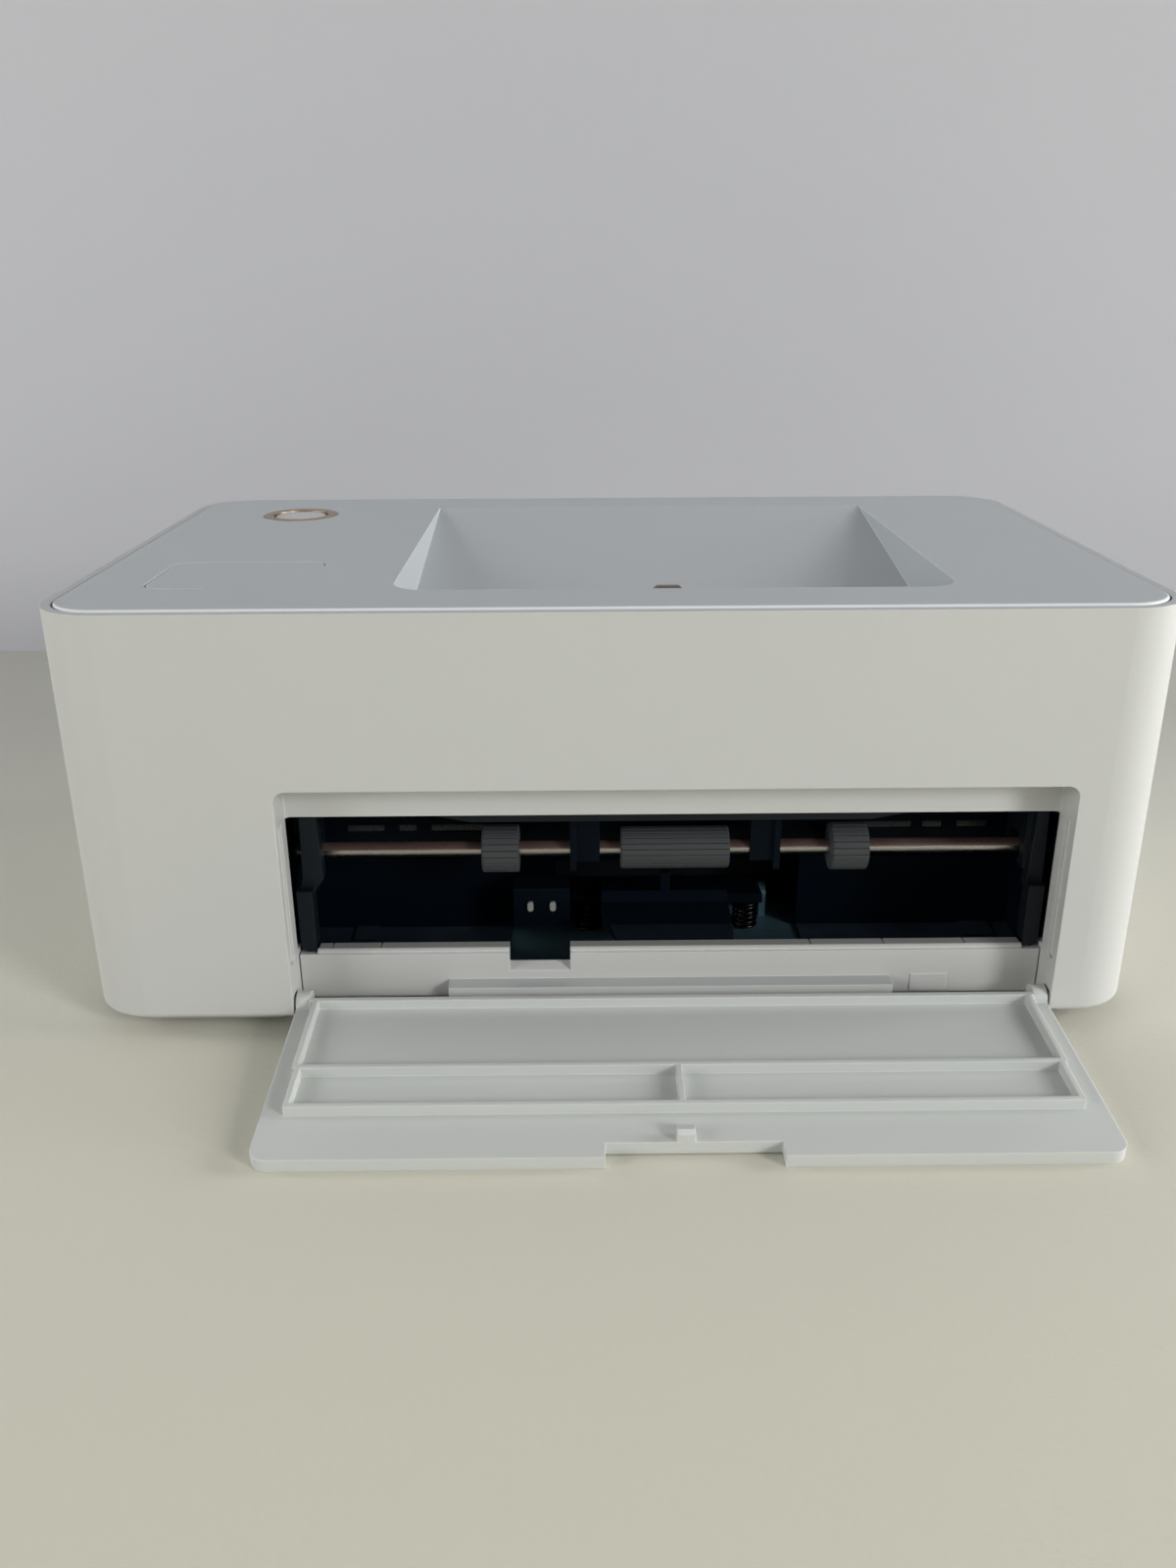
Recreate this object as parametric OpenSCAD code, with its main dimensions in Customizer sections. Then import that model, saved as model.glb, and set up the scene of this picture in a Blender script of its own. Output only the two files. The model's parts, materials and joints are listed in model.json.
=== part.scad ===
// Compact dock photo printer. Millimetres, +Z up, +X to the right, the front faces -Y.
// The front door lies open on the table. The origin is on the table, under the middle
// of the footprint that the body and the open door cover together.
// Inside the modules y counts from the body's front face and z from the table.

/* [Body] */
// Width of the front recess, which sets the paper's way and with it the whole printer
recess_w = 119.4; // [107:0.2:132]
// Width of the body left of the recess, where the gears run
left_room = 32.7; // [30:0.1:36]
// Width of the body right of the recess
right_room = 13.9; // [12.5:0.1:16]
// Height of the shell's rim above the table
body_h = 68; // [62:0.5:76]
// Depth of the paper bay behind the body's front face
bay_len = 38; // [36:0.5:42]
// Room behind the take-up spool, up to the body's back face
rear_room = 18.5; // [17.5:0.5:24]
// Radius of the shell's upright corners
corner_r = 9.5; // [8:0.5:12]
// Radius of the shell's lower edge
edge_r = 1; // [0.5:0.1:1.5]
// Wall of the outer shell
shell_wall = 2.2; // [1.9:0.1:2.6]
// Height of the shell's lower edge above the table
skirt_gap = 2.9; // [2.6:0.1:3.2]
// Width of the shell's rim round the top cover
rim_w = 1.4; // [1.1:0.1:1.6]
// Wall behind the recess's sides and top
jamb_t = 2; // [1.6:0.1:2.4]

/* [Top cover] */
// Thickness of the top cover
cover_t = 2.6; // [2.2:0.1:3.2]
// Gap between the cover and the shell's rim
cover_gap = 0.35; // [0.2:0.05:0.5]
// How far the cover stands above the rim
cover_rise = 0.3; // [0.1:0.1:0.6]
// Radius of the cover's upper edge
cover_edge_r = 0.5; // [0.3:0.1:0.8]
// Width of the touch mark that is engraved in the cover
mark_w = 25; // [18:1:28]
// Length of the touch mark
mark_len = 20; // [14:1:24]
// Depth and width of its line
mark_line = 0.35; // [0.2:0.05:0.5]

/* [Dock] */
// Width of the dock's recess
dock_w = 85.5; // [76:0.5:94]
// Land between the dock and the body's right side
dock_right_land = 30.5; // [26:0.5:34]
// Land between the dock and the body's front face
dock_front_land = 13.2; // [12:0.2:16]
// Land between the dock and the body's back face
dock_rear_land = 13.5; // [11:0.5:20]
// Depth of the dock's recess at its front wall
dock_depth = 11.5; // [10:0.5:13]
// Radius of the recess's front corners
dock_r = 5; // [3:0.5:8]
// Wall of the moulded recess
dock_wall = 2; // [1.6:0.1:2.4]
// Width of the dock's plug
plug_w = 5.2; // [4:0.1:6.8]
// Thickness of the plug
plug_t = 1.8; // [1.4:0.1:2.4]
// Lean of the plug towards the back
plug_lean = 8; // [4:1:12]
// Radius of the rocker that carries the plug
rocker_r = 2.6; // [2.2:0.1:2.8]
// Length of the rocker
rocker_len = 12; // [10:0.5:14]

/* [Power button] */
// Middle of the button from the body's left side
button_from_side = 23.1; // [22:0.1:26]
// Middle of the button from the body's back face
button_from_back = 21.3; // [19:0.1:26]
// Diameter of the button
button_d = 10.2; // [9:0.2:10.8]
// Outer diameter of the ring round it
ring_d = 14.5; // [14:0.1:17]
// Gap round the button
button_gap = 0.25; // [0.15:0.05:0.4]
// Travel of the button
button_travel = 0.8; // [0.5:0.1:1]

/* [Front recess] */
// Top of the recess above the table
recess_top = 41.2; // [40.6:0.2:45]
// Depth of the recess behind the front face
recess_depth = 6.5; // [6.3:0.1:7]
// Radius of the recess's upper corners
recess_r = 1.8; // [1:0.1:3]
// Height of the band between the recess's top and the opening
band_h = 6.6; // [6:0.2:7.2]
// Radius of the opening's upper corners
opening_r = 1.8; // [1.2:0.1:2.4]
// How far the opening reaches past each side of the recess
opening_out = 0.9; // [0.6:0.1:1.1]
// Depth of the long groove in each side of the recess
groove_d = 0.5; // [0.3:0.1:0.8]
// Width of the long groove
groove_w = 2.3; // [1.8:0.1:2.6]
// Top of the sill above the table
sill_top = 11.5; // [11:0.1:12]
// Width of the shelf that stiffens the sill
shelf_w = 71.3; // [60:0.5:80]
// How far the shelf stands out
shelf_out = 2.55; // [2:0.05:2.8]
// Width of the notch for the cassette's code tab
code_w = 9.8; // [8:0.2:12]

/* [Front door] */
// Thickness of the door's plate
door_t = 2; // [1.8:0.1:2.2]
// Gap at the door's sides
door_gap = 0.35; // [0.25:0.05:0.5]
// Height of the hinge's axis above the table
hinge_z = 4.5; // [4.3:0.1:4.8]
// Gap between the closed door and the top of the recess
door_top_gap = 0.6; // [0.4:0.1:0.9]
// Radius of the door's free corners
door_r = 2.5; // [1.5:0.1:4]
// Height of the ribs on the door's inner face
rib_h = 1.6; // [1.2:0.1:1.7]
// Thickness of the ribs
rib_t = 0.8; // [0.6:0.1:1]
// Width of the finger notch
notch_w = 24.2; // [18:0.2:28]
// Depth of the finger notch
notch_d = 2.85; // [2.2:0.05:3.2]
// Radius of the hinge pins
hinge_pin_r = 1; // [0.8:0.05:1.1]

/* [Paper feed] */
// Feed shaft above the table
feed_z = 24.8; // [24:0.1:26]
// Feed shaft from the front recess's inner face
feed_in = 9.5; // [9:0.1:10]
// Diameter of the feed shaft
feed_shaft_d = 2.5; // [2.2:0.1:3]
// Diameter of the two outer pick rollers
side_roller_d = 7.8; // [7:0.1:8]
// Width of the two outer pick rollers
side_roller_w = 6; // [5:0.2:8]
// Distance from the middle roller to the outer ones
roller_pitch = 28.3; // [26:0.1:31]
// Diameter of the middle pick roller
mid_roller_d = 6.9; // [6:0.1:7.4]
// Width of the middle pick roller
mid_roller_w = 17.6; // [14:0.2:20]
// Width of the lift plate's tongue
lift_w = 21.3; // [18:0.1:22]
// Width of the lift plate's wings
lift_wing_w = 33; // [30:0.5:36]
// Outer diameter of the lift springs
spring_d = 4.4; // [4:0.1:4.8]
// Wire of the lift springs
spring_wire = 0.5; // [0.4:0.05:0.6]

/* [Print engine] */
// Distance from the capstan to the platen
platen_pitch = 24; // [21.5:0.5:26.5]
// Distance from the platen to the take-up spool, along the paper
takeup_pitch = 14.5; // [13:0.5:16]
// Height of the ribbon spools' axes
spool_z = 38; // [35:0.5:41]
// Diameter of the platen roller
platen_d = 12; // [11:0.2:12.4]
// Diameter of the capstan roller
capstan_d = 7; // [6.4:0.2:7.4]
// Diameter of the pinch roller
pinch_d = 6; // [5.4:0.2:6.4]
// Module of the gear teeth
tooth_module = 0.8; // [0.78:0.01:0.82]
// Thickness of the gears
gear_t = 4; // [3:0.2:4.4]
// Diameter of the drive motor
motor_d = 20; // [16:0.5:21]
// Length of the drive motor's can
motor_len = 10; // [8:0.5:12]

/* [Cartridge door] */
// Width of the door in the right side, from front to back
side_door_w = 50; // [46:0.5:51]
// Height of the door in the right side
side_door_h = 31; // [28:0.5:33]
// Its lower edge above the table
side_door_z = 23; // [22:0.5:25]
// Thickness of its plate
side_door_t = 2; // [1.8:0.1:2.2]

/* [Clearances] */
// Radial clearance of a pin or shaft in its bore
run_fit = 0.05; // [0.03:0.01:0.08]
// Gap between pieces that are put together by hand
fit_gap = 0.2; // [0.15:0.05:0.3]

/* [Hidden] */
$fn = 48;
eps = 0.1;

// Body and cover
capstan_y = bay_len + 7.5;
platen_y = capstan_y + platen_pitch;
takeup_y = platen_y + takeup_pitch;
supply_y = capstan_y + 7;
body_w = left_room + recess_w + right_room;
body_d = takeup_y + rear_room;
cover_top = body_h + cover_rise;
cover_under = cover_top - cover_t;
back_wall_y = body_d - shell_wall;
side_wall_x = body_w / 2 - shell_wall;
locating_h = 2;
locating_t = 1.2;

// Button and touch mark
button_x = -body_w / 2 + button_from_side;
button_y = body_d - button_from_back;
ring_seat = 1;
ring_lip = 0.1;
sleeve_r = button_d / 2 + button_gap + 0.7;
flange_out = 0.9;
flange_t = 1.2;
stem_r = 1.8;
switch_drop = 7.6;
switch_z = cover_under - switch_drop;
switch_h = 3.2;
switch_w = 6;
switch_post_x = 8.5;
switch_post_r = 1.6;
board_t = 1.2;
mark_x = -body_w / 2 + 24.5;
mark_y = 15;
mark_r = 3;

// Dock recess: its floor rises from the front wall to nothing at its back edge
dock_x = body_w / 2 - dock_right_land - dock_w / 2;
dock_len = body_d - dock_front_land - dock_rear_land;
dock_slope = dock_depth / dock_len;
function dock_floor(y) = cover_top - dock_depth + (y - dock_front_land) * dock_slope;
plug_x = dock_x - 1;
rocker_y = dock_front_land + rocker_r + 0.7;
rocker_z = dock_floor(rocker_y) - 0.5;
rocker_pin_r = 1;
rocker_pin_len = 1.4;
socket_rim = 0.9;
cheek_t = 1.8;
cheek_r = 2.2;
cradle_h = 7;
ear_w = 6;
plug_tip_z = cover_top - 0.55;
plug_len = (plug_tip_z - rocker_z) / cos(plug_lean);
plug_seat = 0.5;
dock_slot_w = rocker_len + 2 * (cheek_t + 2 * fit_gap);

// Front recess and its opening
recess_l = -body_w / 2 + left_room;
recess_rr = recess_l + recess_w;
recess_x = (recess_l + recess_rr) / 2;
opening_top = recess_top - band_h;
opening_l = recess_l - opening_out;
opening_rr = recess_rr + opening_out;
band_back = recess_depth + shell_wall;
groove_y = 1.4;
groove_low = sill_top - 0.3;
foot_notch = 0.6;

// Sill and the strip behind its ledge
ledge_h = 0.9;
ledge_in = 0.9;
flange_len = 2.6;
flange_h = 1.6;
strip_low = sill_top - fit_gap - 0.8;
strip_cut = 0.25;
strip_joints = [recess_l + 5.2, recess_l + 13, recess_rr - 37.1, recess_rr - 25.3, recess_rr - 12.2];
finger_room = 3;
shelf_low = 3.9;
shelf_top = 5.8;
pad_w = 6;
pad_from_right = 14.7;
code_low = 7.4;
sill_back = recess_depth + 1.8;

// Door, closed: outer face at y = 0. It opens until its free edge lies on the table
door_w = recess_w - 2 * door_gap;
door_len = recess_top - door_top_gap - hinge_z;
door_top = hinge_z + door_len;
door_tail = 1.35;
knuckle_w = 2.2;
knuckle_r = door_t - 0.1;
hinge_pin_len = 1.6;
door_swing = acos(-hinge_z / norm([door_len, door_t])) - atan(door_t / door_len);
door_reach = door_len * sin(door_swing) - door_t;
side_rib_in = 3.2;
rib_step = 0.4;
upper_rib = 8.9;
lower_rib = 17.5;
hinge_rib = 34.2;
notch_x = recess_x + 0.8;
latch_x = recess_x - 0.25;
latch_w = 2.5;
latch_len = 1.8;

// The whole footprint is centred on the origin
front_y = -(body_d - door_reach) / 2;

// Bay behind the opening
bay_wall = 2;
bay_l = recess_l - 1.2;
bay_rr = recess_rr + 1.2;
bay_front = band_back + fit_gap;
bay_top = opening_top + 1.6;
base_low = 1.6;
base_t = 1.8;
base_top = base_low + base_t;
floor_t = 1;
floor_top = base_top + floor_t;
partition_y = recess_depth + 15.5;
partition_t = 1.5;
throat_low = feed_z - 5.2;
throat_h = 4.4;
window_z = feed_z + 0.4;
window_h = 1.3;
windows = [[recess_l + 6.4, 6.2], [recess_l + 15, 3], [recess_l + 20.4, 8.9],
    [recess_rr - 26.6, 8.3], [recess_rr - 16.6, 3.4], [recess_rr - 10.8, 5.1]];
ledge_y = 26.5;
rail_h = 3;
bush_r = 2.6;
bush_flange = 0.6;

// Feed line: the paper runs level from the pick rollers to the slot in the back
feed_y = recess_depth + feed_in;
paper_z = feed_z - 2.4;
feed_x = recess_x + 1;
hanger_x = roller_pitch / 2;
hanger_w = 3.9;
hanger_d = 3.6;
hanger_drop = 1.75;
fork_t = 0.9;
fork_d = 5;
fork_drop = 3;
sensor_w = 9.6;
sensor_y = 20;
sensor_low = 8.5;
sensor_top = 15.4;
contact_pitch = 3.8;
contact_w = 1;
contact_h = 1.7;
contact_z = 12.2;

// Lift plate and its springs
lift_x = feed_x - 0.3;
wing_gap = 0.4;
code_x = lift_x - lift_wing_w / 2 - wing_gap - sensor_w / 2;
sensor_l = code_x - sensor_w / 2;
lift_top = sill_top + 1.5;
lift_t = 2;
lift_pin_y = bay_len - 5;
lift_pin_z = 8;
lift_pin_r = 1;
lift_boss_r = 2;
lug_t = 1.2;
lug_r = 2.2;
spring_y = lift_pin_y - 6;
spring_x = lift_wing_w / 2 - 2.6;
spring_high = 9.75;
spring_turns = 4;
ring_sides = 6;
rings = 49;

// Print engine
capstan_z = paper_z - capstan_d / 2;
pinch_z = paper_z + pinch_d / 2 + 0.1;
platen_z = paper_z - platen_d / 2;
roll_l = bay_l + 1.5;
roll_rr = bay_rr - 1.5;
steel_r = 2;
pinch_pin_r = 1.5;
cheek_front = bay_len + fit_gap;
cheek_back = takeup_y + 13;
cheek_top = switch_z - board_t - 0.6;
pivot_y = takeup_y + 7.5;
pivot_z = cheek_top - 3.3;
pivot_r = 1.5;
pivot_tube_r = 3.4;
spindle_r = 3.4;
spindle_len = 8;
spline_w = 1;
spool_room = 9.5;
bar_t = 2;
cross_bars = [[cheek_front + 1, base_top, 15], [cheek_front + 1, spool_z - 8, spool_z + 1],
    [takeup_y, base_top, 9], [pivot_y + 0.6, pivot_z - 8.5, pivot_z - 4]];
head_low = paper_z + 0.6;
head_t = 6;
head_tip = 2;
arm_t = 2.6;
sink_t = 4.5;
sink_top = pivot_z - 3;
fins = 5;

// Gears, all in one plane beside the bay's left wall
gear_x = bay_l - bay_wall - 2 - gear_t;
feed_teeth = 26;
capstan_teeth = 20;
platen_teeth = 20;
takeup_teeth = 22;
idler_teeth = 16;
pinion_teeth = 12;
tooth_gap = 0.12;
stud_r = 1.5;
stud_head = 0.8;
function pitch_r(n) = n * tooth_module / 2;
function gear_span(a, b) = pitch_r(a) + pitch_r(b) + tooth_gap;
// Centre of a gear at the distances dp and dq from p and q, on the left of the way from p to q
function between(p, q, dp, dq) =
    let (v = q - p, d = norm(v), a = (dp * dp - dq * dq + d * d) / (2 * d), h = sqrt(dp * dp - a * a))
    p + v * (a / d) + [-v[1], v[0]] * (h / d);
function bearing(p, q) = atan2(q[1] - p[1], q[0] - p[0]);
// Turn of a gear with n teeth at q so that it meshes with the gear of m teeth, turned by t, at p
function mesh_turn(p, q, m, t, n) =
    let (b = bearing(p, q), f = (b - t) * m / 360) b + 180 - (0.5 - f) * 360 / n;
feed_c = [feed_y, feed_z];
capstan_c = [capstan_y, capstan_z];
pinch_c = [capstan_y, pinch_z];
platen_c = [platen_y, platen_z];
takeup_c = [takeup_y, spool_z];
supply_c = [supply_y, spool_z];
pivot_c = [pivot_y, pivot_z];
idler_a_c = between(feed_c, capstan_c, gear_span(feed_teeth, idler_teeth),
    gear_span(idler_teeth, capstan_teeth));
idler_b_c = between(capstan_c, platen_c, gear_span(capstan_teeth, idler_teeth),
    gear_span(idler_teeth, platen_teeth));
idler_c_c = between(takeup_c, platen_c, gear_span(takeup_teeth, idler_teeth),
    gear_span(idler_teeth, platen_teeth));
pinion_angle = 68;
pinion_c = idler_b_c + gear_span(idler_teeth, pinion_teeth) * [cos(pinion_angle), sin(pinion_angle)];
platen_turn = 0;
idler_b_turn = mesh_turn(platen_c, idler_b_c, platen_teeth, platen_turn, idler_teeth);
idler_c_turn = mesh_turn(platen_c, idler_c_c, platen_teeth, platen_turn, idler_teeth);
capstan_turn = mesh_turn(idler_b_c, capstan_c, idler_teeth, idler_b_turn, capstan_teeth);
idler_a_turn = mesh_turn(capstan_c, idler_a_c, capstan_teeth, capstan_turn, idler_teeth);
feed_turn = mesh_turn(idler_a_c, feed_c, idler_teeth, idler_a_turn, feed_teeth);
takeup_turn = mesh_turn(idler_c_c, takeup_c, idler_teeth, idler_c_turn, takeup_teeth);
pinion_turn = mesh_turn(idler_b_c, pinion_c, idler_teeth, idler_b_turn, pinion_teeth);

// Motor and its bracket, outside the gears
bracket_t = 1.5;
bracket_x = gear_x - bracket_t - 1.5;
bracket_r = motor_d / 2 + 1.5;
bracket_legs = [140, 72];
hub_r = 3;
pinion_shaft_r = 0.8;

// Cartridge door
side_door_y = (supply_y + takeup_y) / 2;
side_door_gap = 0.3;
side_ring_t = 2.5;
side_ring_w = 3;
side_axis_x = body_w / 2 - side_door_t;
side_axis_z = side_door_z + 2.4;
side_knuckle_r = side_door_t - 0.2;
side_pin_len = 1.8;
grip_r = 8;
grip_in = 1.6;

// Sockets and vents in the back, and the boards
jack_x = bay_rr - 12.3;
jack_w = 9;
jack_h = 9.5;
jack_len = 12;
jack_r = 3.2;
jack_bore_r = 2.75;
jack_pin_r = 1;
usb_x = jack_x - 20;
usb_w = 13;
usb_h = 5.4;
usb_wall = 0.5;
usb_tongue = 1.7;
socket_board_z = base_top + 3.4;
socket_top = socket_board_z + board_t;
jack_z = socket_top + jack_h / 2;
usb_z = socket_top + usb_h / 2;
slot_h = 7;
slot_w = 2 * 53;
vent_x = -body_w / 2 + 13;
vent_pitch = 4.5;
vent_w = 2;
vent_low = 42;
vent_h = 14;
vents = 8;
board_x = gear_x + gear_t - 16;
board_w = 16;
board_back = back_wall_y - 2.5;
board_len = 18;
board_z = base_top + 4;
chip_h = 1.4;
peg_r = 1.5;

// Screws, posts and feet
post_r = 2.8;
front_post_x = side_wall_x - post_r - 0.8;
front_post_y = 9;
rear_post_x = [bay_l + post_r + 0.3, bay_rr - post_r - 0.5];
rear_post_y = back_wall_y - post_r - 0.2;
pilot_r = 1.2;
pilot_len = 13;
screw_r = 1.1;
screw_len = 9;
screw_head_r = 2.6;
screw_head_t = 0.7;
tray_h = 4.2;
tray_t = 1.4;
foot_r = 6;
foot_seat = 0.6;
foot_x = body_w / 2 - 21;
foot_y = [18, body_d - 14];
base_slots = 9;

/* ---- helpers ---- */

// Moves a piece from the front face's frame to the origin
module from_front() { translate([0, front_y, 0]) children(); }

// Rounded rectangle, centred on x, from y = 0 to y = d
module plan(w, d, r) {
    translate([-w / 2 + r, 0]) square([w - 2 * r, d]);
    translate([-w / 2, r]) square([w, d - 2 * r]);
    for (x = [-1, 1], y = [r, d - r]) translate([x * (w / 2 - r), y]) circle(r);
}

// Plan of the body, drawn in by the margin m all round
module body_plan(m) { translate([0, m]) plan(body_w - 2 * m, body_d - 2 * m, corner_r - m); }

// Extrudes a profile drawn in y and z from x0 to x1
module along_x(x0, x1) {
    translate([x0, 0, 0]) rotate([90, 0, 90]) linear_extrude(x1 - x0) children();
}

// Extrudes a profile drawn in x and z from y0 to y1
module along_y(y0, y1) {
    translate([0, y1, 0]) rotate([90, 0, 0]) linear_extrude(y1 - y0) children();
}

// Box between two corners
module block(low, high) { translate(low) cube(high - low); }

// Round bar along x about c, which holds y and z
module bar_x(x0, x1, c, r) {
    translate([x0, c[0], c[1]]) rotate([0, 90, 0]) cylinder(h = x1 - x0, r = r);
}

// Round bar along y about c, which holds x and z
module bar_y(y0, y1, c, r) {
    translate([c[0], y1, c[1]]) rotate([90, 0, 0]) cylinder(h = y1 - y0, r = r);
}

// Both sides of something: child shapes at x and mirrored about it
module both_sides(x) {
    translate([x, 0, 0]) children();
    translate([x, 0, 0]) mirror([1, 0, 0]) children();
}

// Rectangle of w by h standing on v = 0, with its two lower corners rounded
module keel(w, h, e) {
    translate([-w / 2, e]) square([w, h - e]);
    translate([-w / 2 + e, 0]) square([w - 2 * e, h]);
    for (s = [-1, 1]) translate([s * (w / 2 - e), e]) circle(e);
}

// Box with upright corners of radius r and a lower edge of radius e
module soft_box(w, d, h, r, e) {
    along_x(-w / 2 + r, w / 2 - r) translate([d / 2, 0]) keel(d, h, e);
    translate([0, r, 0]) along_y(0, d - 2 * r) keel(w, h, e);
    for (x = [-1, 1], y = [r, d - r]) translate([x * (w / 2 - r), y, 0]) rotate_extrude()
        intersection() {
            keel(2 * r, h, e);
            square([r, h]);
        }
}

// Outline in x and z with round upper corners
module arch(x0, x1, z0, z1, r) {
    translate([x0, z0]) square([x1 - x0, z1 - z0 - r]);
    translate([x0 + r, z0]) square([x1 - x0 - 2 * r, z1 - z0]);
    for (x = [x0 + r, x1 - r]) translate([x, z1 - r]) circle(r);
}

// Spur gear along x about c, with its first tooth at the angle turn from +y towards +z
module spur(n, c, turn, bore_r) {
    root_r = pitch_r(n) - 1.2 * tooth_module;
    tip_r = pitch_r(n) + 0.9 * tooth_module;
    step = 360 / n;
    flank = [[root_r, -0.31], [pitch_r(n), -0.23], [tip_r, -0.1], [tip_r, 0.1], [pitch_r(n), 0.23],
        [root_r, 0.31]];
    translate([gear_x, c[0], c[1]]) rotate([90, 0, 90]) rotate([0, 0, turn]) difference() {
        linear_extrude(gear_t)
            polygon([for (i = [0:n - 1], k = flank) k[0] * [cos((i + k[1]) * step),
                sin((i + k[1]) * step)]]);
        translate([0, 0, -1]) cylinder(h = gear_t + 2, r = bore_r);
    }
}

/* ---- casing ---- */

// Cylinder about the cartridge door's axis, past both ends of the door by the length out
module side_axis(out, r) {
    bar_y(side_door_y - side_door_w / 2 - out, side_door_y + side_door_w / 2 + out,
        [side_axis_x, side_axis_z], r);
}

// Notch for the paper slot with the panel below it, and the vents
module rear_openings() {
    block([feed_x - slot_w / 2, back_wall_y - 1, 0],
        [feed_x + slot_w / 2, body_d + 1, paper_z + slot_h / 2]);
    for (i = [0:vents]) translate([vent_x + i * vent_pitch, back_wall_y - 1, vent_low])
        cube([vent_w, shell_wall + 2, vent_h]);
}

module outer_shell() color("white") from_front() difference() {
    union() {
        difference() {
            translate([0, 0, skirt_gap]) soft_box(body_w, body_d, body_h - skirt_gap, corner_r, edge_r);
            translate([0, 0, skirt_gap - 1]) linear_extrude(body_h) body_plan(shell_wall);
        }
        // Walls of the recess: top, sides and the band above the opening
        block([recess_l - jamb_t, shell_wall / 2, skirt_gap + edge_r],
            [recess_rr + jamb_t, band_back, recess_top + jamb_t]);
        // Frame inside the wall that carries the cartridge door
        intersection() {
            translate([0, side_door_y, 0]) block(
                [side_wall_x - side_ring_t, -side_door_w / 2 - side_ring_w, side_door_z - side_ring_t],
                [body_w / 2 - 1, side_door_w / 2 + side_ring_w, side_door_z + side_door_h + side_ring_t]);
            linear_extrude(body_h) body_plan(1);
        }
    }
    // Seat of the top cover
    translate([0, 0, cover_under]) linear_extrude(cover_t + 1) body_plan(rim_w);
    // Recess, opening and the way for the sill
    along_y(-1, recess_depth) arch(recess_l, recess_rr, 0, recess_top, recess_r);
    along_y(recess_depth - eps, band_back + 1)
        arch(opening_l, opening_rr, sill_top, opening_top, opening_r);
    block([recess_l, recess_depth - 1, 0], [recess_rr, band_back + 1, sill_top]);
    // Long grooves in the sides of the recess, with a round foot
    for (x = [recess_l - groove_d, recess_rr - 1]) along_x(x, x + 1 + groove_d) {
        translate([groove_y, groove_low + groove_w / 2])
            square([groove_w, opening_top - groove_low - groove_w / 2]);
        translate([groove_y + groove_w / 2, groove_low + groove_w / 2]) circle(groove_w / 2);
    }
    // Relief round each hinge pin and the pin's blind bore
    for (x = [recess_l - foot_notch, recess_rr - 1])
        block([x, 0.8, hinge_z - 1.6], [x + 1 + foot_notch, hinge_pin_r + door_t + 0.4, hinge_z + 1.6]);
    bar_x(recess_l - hinge_pin_len, recess_rr + hinge_pin_len, [door_t, hinge_z], hinge_pin_r + run_fit);
    // Opening and bores of the cartridge door
    translate([0, side_door_y, 0]) block([side_wall_x - 2 * side_ring_t, -side_door_w / 2, side_door_z],
        [body_w / 2 + 1, side_door_w / 2, side_door_z + side_door_h]);
    side_axis(side_pin_len + fit_gap, hinge_pin_r + run_fit);
    rear_openings();
}

// Panel below the paper slot, with the two sockets; it clips over the base's edge
module rear_panel() color("white") from_front() difference() {
    half = slot_w / 2 - fit_gap;
    clip_in = 4;
    clip_t = 1.3;
    clip_y = back_wall_y - 2 * fit_gap - tray_t;
    clip_z = base_top + tray_h + fit_gap;
    union() {
        block([feed_x - half, back_wall_y, skirt_gap], [feed_x + half, body_d, paper_z - slot_h / 2]);
        along_x(feed_x - half + clip_in, usb_x - usb_w / 2 - clip_in) polygon([
            [back_wall_y + eps, clip_z + clip_t], [clip_y - clip_t, clip_z + clip_t],
            [clip_y - clip_t, base_top + 1], [clip_y, base_top + 1], [clip_y, clip_z],
            [back_wall_y + eps, clip_z]]);
    }
    bar_y(back_wall_y - 1, body_d + 1, [jack_x, jack_z], jack_r + fit_gap);
    block([usb_x - usb_w / 2 - fit_gap, back_wall_y - 1, usb_z - usb_h / 2 - fit_gap],
        [usb_x + usb_w / 2 + fit_gap, body_d + 1, usb_z + usb_h / 2 + fit_gap]);
}

// Side view of the dock: a wedge whose underside lies below the floor by the wall
module dock_profile(wall) {
    front = dock_front_land - wall;
    run_out = 12;
    back = body_d - dock_rear_land + run_out;
    polygon([[front, cover_top + 2], [front, dock_floor(front) - wall], [back, dock_floor(back) - wall],
        [back, cover_top + 2]]);
}

// Plan of the dock, wider by the wall; its back end lies where the floor has run out
module dock_plan(wall) {
    translate([dock_x, dock_front_land - wall]) plan(dock_w + 2 * wall, dock_len + dock_rear_land,
        dock_r + wall);
}

// Posts that the case screws hold: two in front, two beside the paper's way at the back
module post_places() {
    for (s = [-1, 1]) translate([s * front_post_x, front_post_y, 0]) children();
    for (x = rear_post_x) translate([x, rear_post_y, 0]) children();
}

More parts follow.
